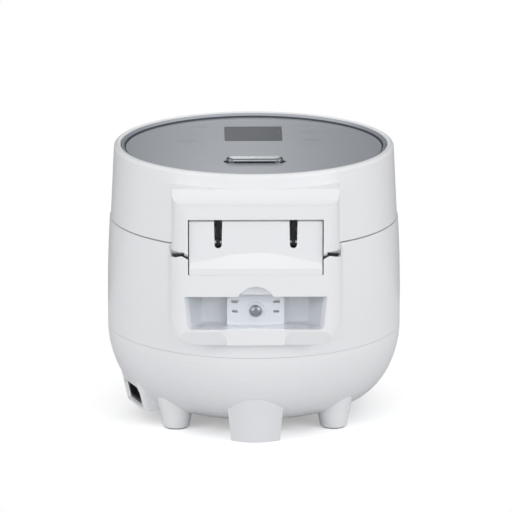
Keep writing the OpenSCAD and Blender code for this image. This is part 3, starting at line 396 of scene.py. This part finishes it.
    def _normal(self, tree: Tree, height: Socket) -> Socket:
        """Bends the normal at edges and by the grain.

        Args:
            tree: The material's node tree.
            height: Socket of the grain's height.

        Returns:
            The socket of the bent normal.
        """
        edge = add(tree, "ShaderNodeBevel", {"Radius": self.edge_mm * MM}, samples=EDGE_SAMPLES)
        return add(
            tree,
            "ShaderNodeBump",
            {
                "Height": height,
                "Distance": self.relief_mm * MM,
                "Strength": 1.0,
                "Normal": edge.outputs["Normal"],
            },
        ).outputs["Normal"]

    def _open_to_lamps(self, tree: Tree, surface: Socket) -> Socket:
        """Lets the lamps through clear stock to what stands behind it.

        Args:
            tree: The material's node tree.
            surface: Socket of the surface as all other rays see it.

        Returns:
            The socket of the whole surface.
        """
        lamp_ray = add(tree, "ShaderNodeLightPath").outputs["Is Shadow Ray"]
        clear = add(tree, "ShaderNodeBsdfTransparent", {"Color": linear(self.colour)})
        return add(
            tree, "ShaderNodeMixShader", {0: lamp_ray, 1: surface, 2: clear.outputs["BSDF"]}
        ).outputs["Shader"]


# The finish of each material slot of the record. A grain that is too fine to show is drawn about
# half a millimetre wide, and its comment says so.
FINISHES = {
    # High-gloss ABS from a polished mould: faint orange peel, soft highlights, no texture.
    "white_shell": Finish(
        "polished moulded ABS",
        "#F1F2F4",
        "#F0F1F3",
        drift_mm=120.0,
        roughness=0.28,
        wear=0.005,
        ior=1.5,
        relief_mm=0.002,
        subsurface=0.03,
    ),
    # Satin ABS from a spark-eroded mould: an even fine tooth that spreads the highlight. The real
    # tooth is a tenth of a millimetre wide, and it is drawn 0.5 mm wide so that it shows.
    "white_inner": Finish(
        "spark eroded ABS",
        "#E9EAEC",
        "#E6E7EA",
        drift_mm=80.0,
        roughness=0.5,
        ior=1.54,
        grain=Grain.SPARK,
        grain_mm=0.5,
        relief_mm=0.02,
    ),
    # Unpainted polypropylene of the rear foot: a little greyer and duller than the shells.
    "foot_plastic": Finish(
        "moulded polypropylene",
        "#E6E7EA",
        "#E3E4E8",
        drift_mm=60.0,
        roughness=0.42,
        ior=1.49,
        grain_mm=1.5,
    ),
    # Nitrile rubber from a blasted mould: dead matt dark grey that picks up no highlight. Its tooth
    # is drawn wider than the real one, so that it shows.
    "pad_rubber": Finish(
        "moulded nitrile rubber",
        "#55575B",
        "#4A4C50",
        roughness=0.75,
        ior=1.52,
        grain=Grain.SPARK,
        grain_mm=0.4,
        relief_mm=0.03,
    ),
    # Acrylic sheet painted silver behind: a soft gloss face over metallic flake. The flake is far
    # too fine to show, so it is drawn as clouds 1.2 mm wide.
    "panel_silver": Finish(
        "back painted acrylic",
        "#ADB2BA",
        "#A7ADB5",
        drift_mm=1.2,
        metallic=0.35,
        roughness=0.4,
        wear=0.04,
        ior=1.49,
        coat=0.5,
        coat_roughness=0.22,
        grain_mm=6.0,
        relief_mm=0.001,
        edge_mm=0.25,
    ),
    # Satin nickel plate on ABS, brushed along the bar: a bright top, with a painted shade on the
    # sides, whose darker grey stands in for their greyer reflection. The brushed lines are drawn
    # 0.35 mm wide, several times the real width, so that they show.
    "vent_silver": Finish(
        "satin nickel plate",
        "#D6D8DB",
        "#CED1D4",
        metallic=1.0,
        roughness=0.22,
        wear=0.04,
        grain=Grain.BRUSHED,
        grain_mm=0.35,
        relief_mm=0.002,
        edge_mm=0.3,
        # Painted shade: darker grey on the faces that don't look up.
        side="#7A7C81",
    ),
    # Smoked acrylic over a dark display: slate grey, paled by a broad soft reflection.
    "window_dark": Finish(
        "smoked acrylic",
        "#2B333D",
        "#2F3742",
        drift_mm=45.0,
        roughness=0.28,
        ior=1.49,
        coat=0.1,
        coat_roughness=0.05,
        grain_mm=8.0,
        relief_mm=0.001,
        edge_mm=0.15,
    ),
    # Clear polycarbonate in thin walls: the two faces of a wall cancel the bending of the light, so
    # the stock has a low index here, and the gloss comes from a coat with the usual index. Edges
    # show as thin lines.
    "clear_plastic": Finish(
        "clear polycarbonate",
        "#FAFBFC",
        "#F8F9FB",
        drift_mm=50.0,
        roughness=0.03,
        wear=0.01,
        ior=1.03,
        coat=0.7,
        coat_roughness=0.03,
        transmission=1.0,
        grain_mm=9.0,
        relief_mm=0.003,
        edge_mm=0.3,
    ),
    # Glass-filled nylon: black with a dull tooth, so that openings read as black. The tooth is
    # drawn wider than the real one, so that it shows.
    "black_plastic": Finish(
        "black nylon",
        "#17181A",
        "#1C1D20",
        roughness=0.5,
        ior=1.53,
        grain=Grain.SPARK,
        grain_mm=0.4,
        relief_mm=0.02,
    ),
    # Zinc plate on pressed steel: a bluish grey sheen that clouds in patches a few mm wide.
    "steel": Finish(
        "zinc plated steel",
        "#B9BCC0",
        "#A4A7AC",
        drift_mm=3.0,
        metallic=1.0,
        roughness=0.34,
        wear=0.08,
        grain=Grain.ROLLED,
        grain_mm=1.2,
        relief_mm=0.006,
        edge_mm=0.2,
    ),
    # Steel blackened in hot oil: near black, with a greasy sheen along edges.
    "dark_steel": Finish(
        "blackened steel",
        "#3A3B3E",
        "#2A2B2D",
        drift_mm=4.0,
        metallic=0.9,
        roughness=0.42,
        wear=0.08,
        grain=Grain.ROLLED,
        grain_mm=1.0,
        relief_mm=0.006,
        edge_mm=0.2,
    ),
    # Sheet steel dipped in aluminium: a pale dull metal with the ripple of rolling.
    "casing_steel": Finish(
        "aluminised sheet",
        "#B4B6B9",
        "#A6A9AD",
        drift_mm=5.0,
        metallic=1.0,
        roughness=0.38,
        wear=0.08,
        grain=Grain.ROLLED,
        grain_mm=1.5,
        relief_mm=0.006,
        edge_mm=0.2,
    ),
    # Aluminium faced on a lathe: rings about the axis that turn the highlight into a bow tie. The
    # tool's feed is some 0.15 mm a turn, and the rings are drawn 0.5 mm apart so that they show.
    "aluminium": Finish(
        "turned aluminium",
        "#CDCFD2",
        "#BFC1C5",
        metallic=1.0,
        roughness=0.3,
        wear=0.06,
        grain=Grain.TURNED,
        grain_mm=0.5,
        relief_mm=0.008,
        edge_mm=0.25,
    ),
    # Fluoropolymer sprayed on the pot: near black, with pale mineral specks under a low sheen.
    "pot_coating": Finish(
        "fluoropolymer coating",
        "#3A3B3F",
        "#4A4B50",
        drift_mm=1.2,
        metallic=0.2,
        roughness=0.36,
        wear=0.05,
        ior=1.38,
        grain=Grain.SPECKLED,
        grain_mm=1.4,
        relief_mm=0.012,
    ),
    # Silicone rubber: pale and slightly see-through at thin lips, with a soft skin-like sheen.
    "silicone": Finish(
        "moulded silicone",
        "#DADBDE",
        "#D2D3D6",
        roughness=0.48,
        ior=1.41,
        subsurface=0.35,
        grain_mm=1.0,
    ),
    # Solder mask on glass laminate: glossy green with the weave just telling below it.
    "circuit_board": Finish(
        "solder mask on glass laminate",
        "#2E6B49",
        "#3A7D57",
        drift_mm=2.0,
        roughness=0.35,
        ior=1.52,
        coat=0.4,
        grain_mm=1.0,
    ),
    # Moulded epoxy and nylon cases of the parts on the boards: dark, matt and slightly grainy.
    "board_parts": Finish(
        "moulded component cases",
        "#2B2D33",
        "#3A3C42",
        roughness=0.45,
        ior=1.52,
        grain_mm=0.6,
    ),
    # Brass strip, stamped: warm yellow with the fine ripple of rolling.
    "brass": Finish(
        "brass strip",
        "#C9A45C",
        "#B8924C",
        drift_mm=3.0,
        metallic=1.0,
        roughness=0.28,
        grain=Grain.ROLLED,
        grain_mm=1.0,
        relief_mm=0.004,
        edge_mm=0.15,
    ),
    # Foam filled with carbon: soft open cells about half a millimetre wide, no sheen at all.
    "foam": Finish(
        "conductive foam",
        "#3A3C40",
        "#2E3033",
        drift_mm=1.0,
        roughness=0.85,
        grain=Grain.SPECKLED,
        grain_mm=0.5,
        relief_mm=0.08,
    ),
}

# Screen ink on the panel: flat grey, only a little darker than the silver behind it.
PANEL_INK = Finish(
    "grey screen ink",
    "#858A93",
    "#8A8F98",
    roughness=0.5,
    relief_mm=0.001,
    edge_mm=0.05,
)
# Dark ring at the foot of the panel's upturned edge: a painted shade in the crease there, flat,
# with no sheen of its own.
PAINTED_CREASE_SHADE = Finish(
    "painted crease shade",
    "#3A3D43",
    "#404349",
    roughness=0.55,
    relief_mm=0.001,
    edge_mm=0.05,
)
# Pad-printed ink inside the pot: pale grey lines, thin enough to keep the coating's grain.
POT_INK = Finish(
    "pale pad printing ink",
    "#A9ABAE",
    "#9C9EA2",
    drift_mm=1.5,
    roughness=0.45,
    ior=1.45,
    grain=Grain.SPECKLED,
    grain_mm=1.4,
    relief_mm=0.006,
    edge_mm=0.05,
)


@dataclass
class Workshop:
    """The loaded frame, with the materials that the sub-assemblies share.

    Attributes:
        frame: The loaded frame.
        materials: Material of each slot, made when first asked for.
    """

    frame: dict[str, Any]
    materials: dict[str, bpy.types.Material] = field(default_factory=dict)

    def material(self, slot: str) -> bpy.types.Material:
        """Gives the material of a slot.

        Args:
            slot: Name of the record's material slot.

        Returns:
            The slot's material.
        """
        if slot not in self.materials:
            self.materials[slot] = FINISHES[slot].build()
        return self.materials[slot]

    def slot_of(self, node: str) -> str:
        """Gives the record's material slot of a node.

        Args:
            node: Name of the node.

        Returns:
            Name of its slot.
        """
        subparts = self.frame["record"]["subparts"]
        return next(part["material_slot"] for part in subparts if part["node"] == node)


@dataclass
class SubAssembly:
    """Solids that are made and fitted together.

    Attributes:
        title: What a maker calls them.
        body: Body of the frame that added pieces ride on.
        nodes: The frame's nodes among them.
    """

    title: str
    body: str
    nodes: tuple[str, ...]

    def build(self, shop: Workshop) -> None:
        """Makes and dresses everything in the sub-assembly.

        Args:
            shop: The workshop.
        """
        self.dress(shop)

    def dress(self, shop: Workshop) -> None:
        """Puts the finish of its slot on each node.

        Args:
            shop: The workshop.
        """
        for node in self.nodes:
            slot = shop.slot_of(node)
            for place in shop.frame["nodes"][node].material_slots:
                place.material = shop.material(slot)
            LOG.info("%s: %s in %s", self.title, node, slot)

    def fit(
        self, name: str, form: bmesh.types.BMesh, material: bpy.types.Material
    ) -> bpy.types.Object:
        """Turns a mesh into a piece that rides on the sub-assembly's body.

        Args:
            name: Name of the piece.
            form: Its mesh, which is freed.
            material: Its material.

        Returns:
            The piece.
        """
        mesh = bpy.data.meshes.new(name)
        bmesh.ops.recalc_face_normals(form, faces=form.faces)
        form.to_mesh(mesh)
        form.free()
        mesh.materials.append(material)
        piece = stand(name, mesh)
        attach(piece, self.body)
        LOG.info("%s: %s made", self.title, name)
        return piece


@dataclass(frozen=True)
class KeyMark:
    """Printed marks of one touch key: a plain bar, and a shorter one beside it.

    Attributes:
        x: Middle of the mark along X.
        y: Middle of the first bar along Y.
        width: Length of the first bar.
        second: Length of the second bar, or 0 for none.
    """

    x: float
    y: float
    width: float
    second: float = 0.0


@dataclass
class LidTop(SubAssembly):
    """Panel of the lid, with the display and the printed places of the touch keys.

    Attributes:
        marks: Places of the printed marks.
        bar: Width of a printed bar.
        bar_end_steps: Number of straight lengths in the round end of a bar.
        gap: Distance between the two bars of a key.
        ink: Half the thickness of the ink.
        border: Radius and height above the panel's face of each line of the painted crease shade.
        border_steps: Number of straight lengths round the painted crease shade.
    """

    marks: tuple[KeyMark, ...] = (
        KeyMark(0.0426, -0.0671, 0.0122),
        KeyMark(0.0489, -0.0442, 0.0063),
        KeyMark(0.0521, -0.0195, 0.0184, 0.0082),
        KeyMark(-0.0391, -0.0713, 0.0114),
        KeyMark(-0.0460, -0.0494, 0.0191, 0.0076),
        KeyMark(-0.0466, -0.0236, 0.0145, 0.0070),
    )
    bar: float = 0.0011
    bar_end_steps: int = 8
    gap: float = 0.0046
    ink: float = 0.00004
    border: tuple[tuple[float, float], ...] = (
        (0.10003, 0.00007),
        (0.10053, 0.00026),
        (0.10097, 0.00057),
        (0.10132, 0.00097),
        (0.10147, 0.00125),
    )
    border_steps: int = 144

    def build(self, shop: Workshop) -> None:
        """Dresses the panel, prints the marks and lays the painted shade ring in the crease round
        it.

        Args:
            shop: The workshop.
        """
        self.dress(shop)
        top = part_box("display_window")[1].z
        form = bmesh.new()
        for mark in self.marks:
            self._bar(form, mark.x, mark.y, mark.width, top)
            if mark.second:
                self._bar(form, mark.x, mark.y + self.gap, mark.second, top)
        self.fit("key_marks", form, PANEL_INK.build())
        # The dark ring round the panel is a painted shade in the crease, not print.
        self._border(top)

    def _bar(
        self, form: bmesh.types.BMesh, x: float, y: float, width: float, top: float
    ) -> None:
        """Prints one bar with round ends.

        Args:
            form: The mesh that it joins.
            x: Middle along X.
            y: Middle along Y.
            width: Length along X.
            top: Height of the panel's face.
        """
        radius = self.bar / 2
        reach = width / 2 - radius
        rim = []
        for side in (1, -1):
            for step in range(self.bar_end_steps + 1):
                turn = math.radians(-90 + 180 * step / self.bar_end_steps)
                along = x + side * (reach + radius * math.cos(turn))
                rim.append((along, y + side * radius * math.sin(turn)))
        loft(form, [[(*corner, top + rise) for corner in rim] for rise in (-self.ink, self.ink)])

    def _border(self, top: float) -> None:
        """Lays a dark ring at the foot of the panel's upturned edge: a painted shade in the crease.

        Args:
            top: Height of the panel's face.
        """
        form = bmesh.new()
        skin = self.ink * 2
        outline = [(r, top + z) for r, z in self.border]
        outline += [(r - skin, top + z + skin) for r, z in reversed(self.border)]
        sections = []
        for step in range(self.border_steps):
            turn = 2 * math.pi * step / self.border_steps
            sections.append([(r * math.cos(turn), r * math.sin(turn), z) for r, z in outline])
        loft(form, sections, ring=True, smooth=True)
        self.fit("panel_crease_shade", form, PAINTED_CREASE_SHADE.build())


@dataclass
class PotAndHeater(SubAssembly):
    """Inner pot with its printed level lines, and what heats and senses it.

    Attributes:
        levels: Heights of the level lines above the pot's floor.
        scales_deg: Directions of the middles of the two printed scales.
        span_deg: Length of a line round the wall.
        long_line: Length of every second line over that of the others.
        upright_deg: Width of the upright line that joins them.
        steps_per_deg: Straight lengths in a degree of a line.
        line: Height of a printed line.
        ink: Half the thickness of the ink.
        wall: Thickness of the pot's wall.
        wall_radius: Outer radius of the pot's wall.
        wire: Radius of the wire of the sensor's spring.
        wire_sides: Number of flats round that wire.
        turns: Number of turns of that spring.
        steps: Sections of wire in one turn.
        travel: How far the sensor can press the spring down. Not used.
    """

    levels: tuple[float, ...] = (0.024, 0.032, 0.040, 0.048, 0.056, 0.064)
    scales_deg: tuple[float, ...] = (0.0, 180.0)
    span_deg: float = 7.0
    long_line: float = 1.6
    upright_deg: float = 0.5
    steps_per_deg: int = 2
    line: float = 0.0008
    ink: float = 0.00008
    wall: float = 0.002
    wall_radius: float = 0.092
    wire: float = 0.0006
    wire_sides: int = 10
    turns: int = 5
    steps: int = 28
    travel: float = 0.004

    def build(self, shop: Workshop) -> None:
        """Dresses the pot and the heater, prints the level lines and winds the spring.

        Args:
            shop: The workshop.
        """
        self.dress(shop)
        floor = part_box("inner_pot")[0].z + self.wall
        lowest, highest = floor + self.levels[0], floor + self.levels[-1]
        form = bmesh.new()
        for middle in self.scales_deg:
            for i, level in enumerate(self.levels):
                span = self.span_deg * (self.long_line if i % 2 else 1.0)
                self._line(form, middle, span, floor + level, self.line)
            self._line(form, middle, self.upright_deg, (lowest + highest) / 2, highest - lowest)
        self.fit("level_lines", form, POT_INK.build())
        self._spring(shop)

    def _line(
        self, form: bmesh.types.BMesh, middle: float, span: float, height: float, tall: float
    ) -> None:
        """Prints one line round the pot's wall.

        Args:
            form: The mesh that it joins.
            middle: Direction of its middle, in degrees.
            span: Its length round the wall, in degrees.
            height: Height of its middle.
            tall: Its width up the wall.
        """
        inner = self.wall_radius - self.wall
        outline = (
            (inner - self.ink, height - tall / 2),
            (inner - self.ink, height + tall / 2),
            (inner + self.ink, height + tall / 2),
            (inner + self.ink, height - tall / 2),
        )
        steps = max(2, round(span * self.steps_per_deg))
        sections = []
        for step in range(steps + 1):
            turn = math.radians(middle - span / 2 + span * step / steps)
            sections.append([(r * math.cos(turn), r * math.sin(turn), z) for r, z in outline])
        loft(form, sections)

    def _spring(self, shop: Workshop) -> None:
        """Winds the sensor's spring in round wire, in place of the frame's solid one, which it
        hides.

        Args:
            shop: The workshop.
        """
        low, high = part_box("sensor_spring")
        radius = high.x - self.wire
        tall = high.z - low.z
        last = self.turns * self.steps
        sections = []
        for i in range(last + 1):
            turn = 2 * math.pi * i / self.steps
            height = low.z + self.wire + (tall - 2 * self.wire) * i / last
            section = []
            for k in range(self.wire_sides):
                around = 2 * math.pi * k / self.wire_sides
                reach = radius + self.wire * math.cos(around)
                rise = height + self.wire * math.sin(around)
                section.append((reach * math.cos(turn), reach * math.sin(turn), rise))
            sections.append(section)
        form = bmesh.new()
        loft(form, sections, smooth=True)
        coil = self.fit("sensor_coil", form, shop.material("steel"))
        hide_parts("sensor_spring")
        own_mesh(coil)


@dataclass(frozen=True)
class SoftBox:
    """Square soft light on a stand.

    Attributes:
        name: Name of the light.
        place: Its middle.
        side: Length of its side.
        watts: Its power.
        mirrored: True where glossy surfaces mirror it.
    """

    name: str
    place: Point
    side: float
    watts: float
    mirrored: bool = True

    def hang(self, aim: Point) -> None:
        """Hangs the light.

        Args:
            aim: The point that it faces.
        """
        data = bpy.data.lights.new(self.name, "AREA")
        data.shape = "SQUARE"
        data.size = self.side
        data.energy = self.watts
        lamp = stand(self.name, data)
        lamp.location = self.place
        lamp.rotation_mode = "QUATERNION"
        lamp.rotation_quaternion = (Vector(aim) - lamp.location).to_track_quat("-Z", "Y")
        lamp.visible_glossy = self.mirrored


@dataclass
class Studio:
    """Plain pale studio with soft light, and the camera behind the cooker.

    Attributes:
        distance: Level distance from the body's axis to the camera.
        height: Height of the camera above the floor.
        azimuth_deg: Direction of the camera seen from the axis; 180 is straight behind.
        pitch_deg: How far the camera looks down.
        aim_x: Where the camera's level line of sight passes the axis.
        lens_mm: Focal length of the camera.
        sensor_mm: Width of its sensor.
        clip: Nearest and farthest distance that it sees.
        ambient_side: Strength of the soft light from the horizon and below.
        ambient_top: Strength of the soft light from overhead.
        floor_half: Half the side of the paper on the floor.
        floor_fade: Radii between which the paper fades to white.
        floor_lift: Light that the paper gives to the camera besides what falls on it.
        floor_dull: Colour of the paper as the cooker meets it, as sRGB hex.
        drape_line: Y and Z of each fold line of the drape before the cooker's front.
        drape_half: Half its width.
        drape_tint: Its colour, as sRGB hex.
        drape_bright: Brightness of its middle.
        drape_dark: Brightness of its sides and its foot.
        drape_width: Half the width of its bright middle.
        drape_rise: Heights between which that middle comes in.
        boxes: The soft boxes.
        boxes_aim: The point that they face.
    """

    distance: float = 4.2
    height: float = 1.2089
    azimuth_deg: float = 179.3
    pitch_deg: float = 14.512
    aim_x: float = -0.00167
    lens_mm: float = 387.52
    sensor_mm: float = 36.0
    clip: tuple[float, float] = (0.05, 60.0)
    ambient_side: float = 0.86
    ambient_top: float = 0.6
    floor_half: float = 8.0
    floor_fade: tuple[float, float] = (0.16, 0.32)
    floor_lift: float = 0.3
    floor_dull: str = "#C9CACC"
    drape_line: tuple[tuple[float, float], ...] = (
        (-0.3, 0.004),
        (-1.2, 0.004),
        (-1.45, 0.1),
        (-1.55, 0.35),
        (-1.55, 2.4),
    )
    drape_half: float = 2.6
    drape_tint: str = "#FDFEFF"
    drape_bright: float = 2.2
    drape_dark: float = 0.1
    drape_width: float = 0.13
    drape_rise: tuple[float, float] = (0.57, 0.68)
    boxes: tuple[SoftBox, ...] = (
        SoftBox("left_box", (2.3, 1.9, 1.1), 1.5, 18.0),
        SoftBox("right_box", (-2.3, 1.9, 1.1), 1.5, 21.0),
        SoftBox("rear_box", (0.0, 4.8, 0.9), 1.4, 14.0),
        SoftBox("front_box", (0.0, -4.8, 0.9), 1.4, 13.0, mirrored=False),
    )
    boxes_aim: Point = (0.0, 0.0, 0.12)

    def build(self) -> None:
        """Makes the camera, the world, the floor, the drape and the lights."""
        self._camera()
        self._world()
        self._floor()
        self._drape()
        for box in self.boxes:
            box.hang(self.boxes_aim)

    def _camera(self) -> None:
        """Sets the camera."""
        data = bpy.data.cameras.new("camera")
        data.sensor_width = self.sensor_mm
        data.lens = self.lens_mm
        data.clip_start, data.clip_end = self.clip
        camera = stand("camera", data)
        turn = math.radians(self.azimuth_deg)
        camera.location = (
            self.distance * math.sin(turn),
            -self.distance * math.cos(turn),
            self.height,
        )
        level = Vector((self.aim_x - camera.location.x, -camera.location.y, 0.0)).normalized()
        drop = math.radians(self.pitch_deg)
        sight = level * math.cos(drop) - Vector((0.0, 0.0, math.sin(drop)))
        camera.rotation_mode = "QUATERNION"
        camera.rotation_quaternion = sight.to_track_quat("-Z", "Y")
        bpy.context.scene.camera = camera

    def _world(self) -> None:
        """Sets a soft ambient light that the camera, glass and metal see as white."""
        world = bpy.data.worlds.new("studio")
        bpy.context.scene.world = world
        tree = blank_tree(world)
        path = add(tree, "ShaderNodeLightPath")
        seen = path.outputs["Is Camera Ray"]
        for ray in ("Is Glossy Ray", "Is Transmission Ray"):
            seen = add(
                tree, "ShaderNodeMath", {0: seen, 1: path.outputs[ray]}, operation="MAXIMUM"
            ).outputs["Value"]
        way = add(tree, "ShaderNodeTexCoord").outputs["Generated"]
        risen = add(tree, "ShaderNodeSeparateXYZ", {"Vector": way}).outputs["Z"]
        soft = add(
            tree,
            "ShaderNodeMapRange",
            {"Value": risen, "To Min": self.ambient_side, "To Max": self.ambient_top},
            interpolation_type="SMOOTHSTEP",
        ).outputs["Result"]
        strength = add(
            tree, "ShaderNodeMapRange", {"Value": seen, "To Min": soft, "To Max": 1.0}
        ).outputs["Result"]
        light = add(
            tree, "ShaderNodeBackground", {"Color": linear(WHITE), "Strength": strength}
        ).outputs["Background"]
        add(tree, "ShaderNodeOutputWorld", {"Surface": light})

    def _floor(self) -> None:
        """Lays a pale floor that keeps the shadow and fades into the white around it."""
        half = self.floor_half
        corners = [(-half, -half, 0), (half, -half, 0), (half, half, 0), (-half, half, 0)]
        mesh = bpy.data.meshes.new("floor")
        mesh.from_pydata(corners, [], [(0, 1, 2, 3)])
        floor = stand("floor", mesh)
        material = bpy.data.materials.new("matt_white_paper")
        tree = blank_tree(material)
        paper = add(tree, "ShaderNodeBsdfDiffuse", {"Color": linear(WHITE)}).outputs["BSDF"]
        lift = add(
            tree, "ShaderNodeEmission", {"Color": linear(WHITE), "Strength": self.floor_lift}
        ).outputs["Emission"]
        lit = add(tree, "ShaderNodeAddShader", {0: paper, 1: lift}).outputs["Shader"]
        white = add(
            tree, "ShaderNodeEmission", {"Color": linear(WHITE), "Strength": 1.0}
        ).outputs["Emission"]
        place = add(tree, "ShaderNodeTexCoord").outputs["Object"]
        reach = add(
            tree, "ShaderNodeVectorMath", {0: place}, operation="LENGTH"
        ).outputs["Value"]
        fade = add(
            tree,
            "ShaderNodeMapRange",
            {"Value": reach, "From Min": self.floor_fade[0], "From Max": self.floor_fade[1]},
            interpolation_type="SMOOTHSTEP",
        ).outputs["Result"]
        shown = add(tree, "ShaderNodeMixShader", {0: fade, 1: lit, 2: white}).outputs["Shader"]
        dull = add(
            tree, "ShaderNodeBsdfDiffuse", {"Color": linear(self.floor_dull)}
        ).outputs["BSDF"]
        seen = add(tree, "ShaderNodeLightPath").outputs["Is Camera Ray"]
        whole = add(tree, "ShaderNodeMixShader", {0: seen, 1: dull, 2: shown}).outputs["Shader"]
        add(tree, "ShaderNodeOutputMaterial", {"Surface": whole})
        mesh.materials.append(material)

    def _drape(self) -> None:
        """Hangs a grey drape before the cooker's front, for the cooker's glossy faces alone."""
        verts = [(side * self.drape_half, y, z) for y, z in self.drape_line for side in (-1, 1)]
        lengths = range(len(self.drape_line) - 1)
        faces = [(2 * i, 2 * i + 1, 2 * i + 3, 2 * i + 2) for i in lengths]
        mesh = bpy.data.meshes.new("drape")
        mesh.from_pydata(verts, [], faces)
        material = bpy.data.materials.new("grey_felt")
        tree = blank_tree(material)
        coords = add(tree, "ShaderNodeTexCoord").outputs["Object"]
        place = add(tree, "ShaderNodeSeparateXYZ", {"Vector": coords})
        aside = add(
            tree, "ShaderNodeMath", {0: place.outputs["X"]}, operation="ABSOLUTE"
        ).outputs["Value"]
        middle = add(
            tree,
            "ShaderNodeMapRange",
            {
                "Value": aside,
                "From Min": 0.0,
                "From Max": self.drape_width,
                "To Min": 1.0,
                "To Max": 0.0,
            },
            interpolation_type="SMOOTHSTEP",
        ).outputs["Result"]
        risen = add(
            tree,
            "ShaderNodeMapRange",
            {
                "Value": place.outputs["Z"],
                "From Min": self.drape_rise[0],
                "From Max": self.drape_rise[1],
            },
            interpolation_type="SMOOTHSTEP",
        ).outputs["Result"]
        bright = add(
            tree, "ShaderNodeMath", {0: middle, 1: risen}, operation="MULTIPLY"
        ).outputs["Value"]
        strength = add(
            tree,
            "ShaderNodeMapRange",
            {"Value": bright, "To Min": self.drape_dark, "To Max": self.drape_bright},
        ).outputs["Result"]
        felt = add(
            tree, "ShaderNodeEmission", {"Color": linear(self.drape_tint), "Strength": strength}
        ).outputs["Emission"]
        add(tree, "ShaderNodeOutputMaterial", {"Surface": felt})
        mesh.materials.append(material)
        drape = stand("drape", mesh)
        drape.visible_camera = False
        drape.visible_diffuse = False
        drape.visible_shadow = False
        drape.visible_transmission = False


def sub_assemblies() -> tuple[SubAssembly, ...]:
    """Lists the sub-assemblies.

    Returns:
        The sub-assemblies, in the order in which they are dressed.
    """
    return (
        SubAssembly(
            "base",
            "cooker_body",
            ("base_shell", "foot_pads", "rear_foot", "base_screws"),
        ),
        SubAssembly(
            "body",
            "cooker_body",
            ("body_shell", "deck_ring", "inner_casing"),
        ),
        SubAssembly(
            "hinge",
            "cooker_body",
            (
                "hinge_cover",
                "hinge_bracket",
                "hinge_pin",
                "hinge_springs",
                "bracket_screws",
                "bay_screw",
                "hinge_arms",
                "arm_rivets",
            ),
        ),
        PotAndHeater(
            "pot and heater",
            "cooker_body",
            (
                "inner_pot",
                "heating_plate",
                "heater_element",
                "thermal_fuse",
                "sensor_guide",
                "sensor_spring",
                "sensor_cap",
            ),
        ),
        SubAssembly(
            "mains side",
            "cooker_body",
            ("power_board", "board_parts", "inlet_socket", "inlet_pins"),
        ),
        SubAssembly("dew collector", "dew_cup", ("dew_collector",)),
        SubAssembly(
            "latch",
            "cooker_body",
            ("latch_button", "latch_hook", "latch_pin", "latch_spring", "lid_catch"),
        ),
        LidTop(
            "lid top",
            "lid",
            (
                "lid_shell",
                "top_panel",
                "display_window",
                "display_module",
                "control_board",
                "touch_pads",
            ),
        ),
        SubAssembly(
            "steam vent",
            "vent",
            ("vent_cap", "vent_pocket", "steam_duct", "steam_seal"),
        ),
        SubAssembly(
            "lid underside",
            "lid",
            ("lid_liner", "inner_plate", "pot_gasket", "plate_knob", "lid_screws"),
        ),
    )


def main() -> None:
    """Loads the frame, dresses it, and builds what stands round it."""
    logging.basicConfig(level=logging.INFO, format="%(name)s: %(message)s")
    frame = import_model()
    bpy.context.scene.view_settings.view_transform = "Standard"
    Studio().build()
    shop = Workshop(frame)
    assemblies = sub_assemblies()
    for assembly in assemblies:
        assembly.build(shop)
    dressed = {node for assembly in assemblies for node in assembly.nodes}
    for node in sorted(set(frame["nodes"]) - dressed):
        LOG.warning("%s has no finish", node)


if __name__ == "__main__":
    main()
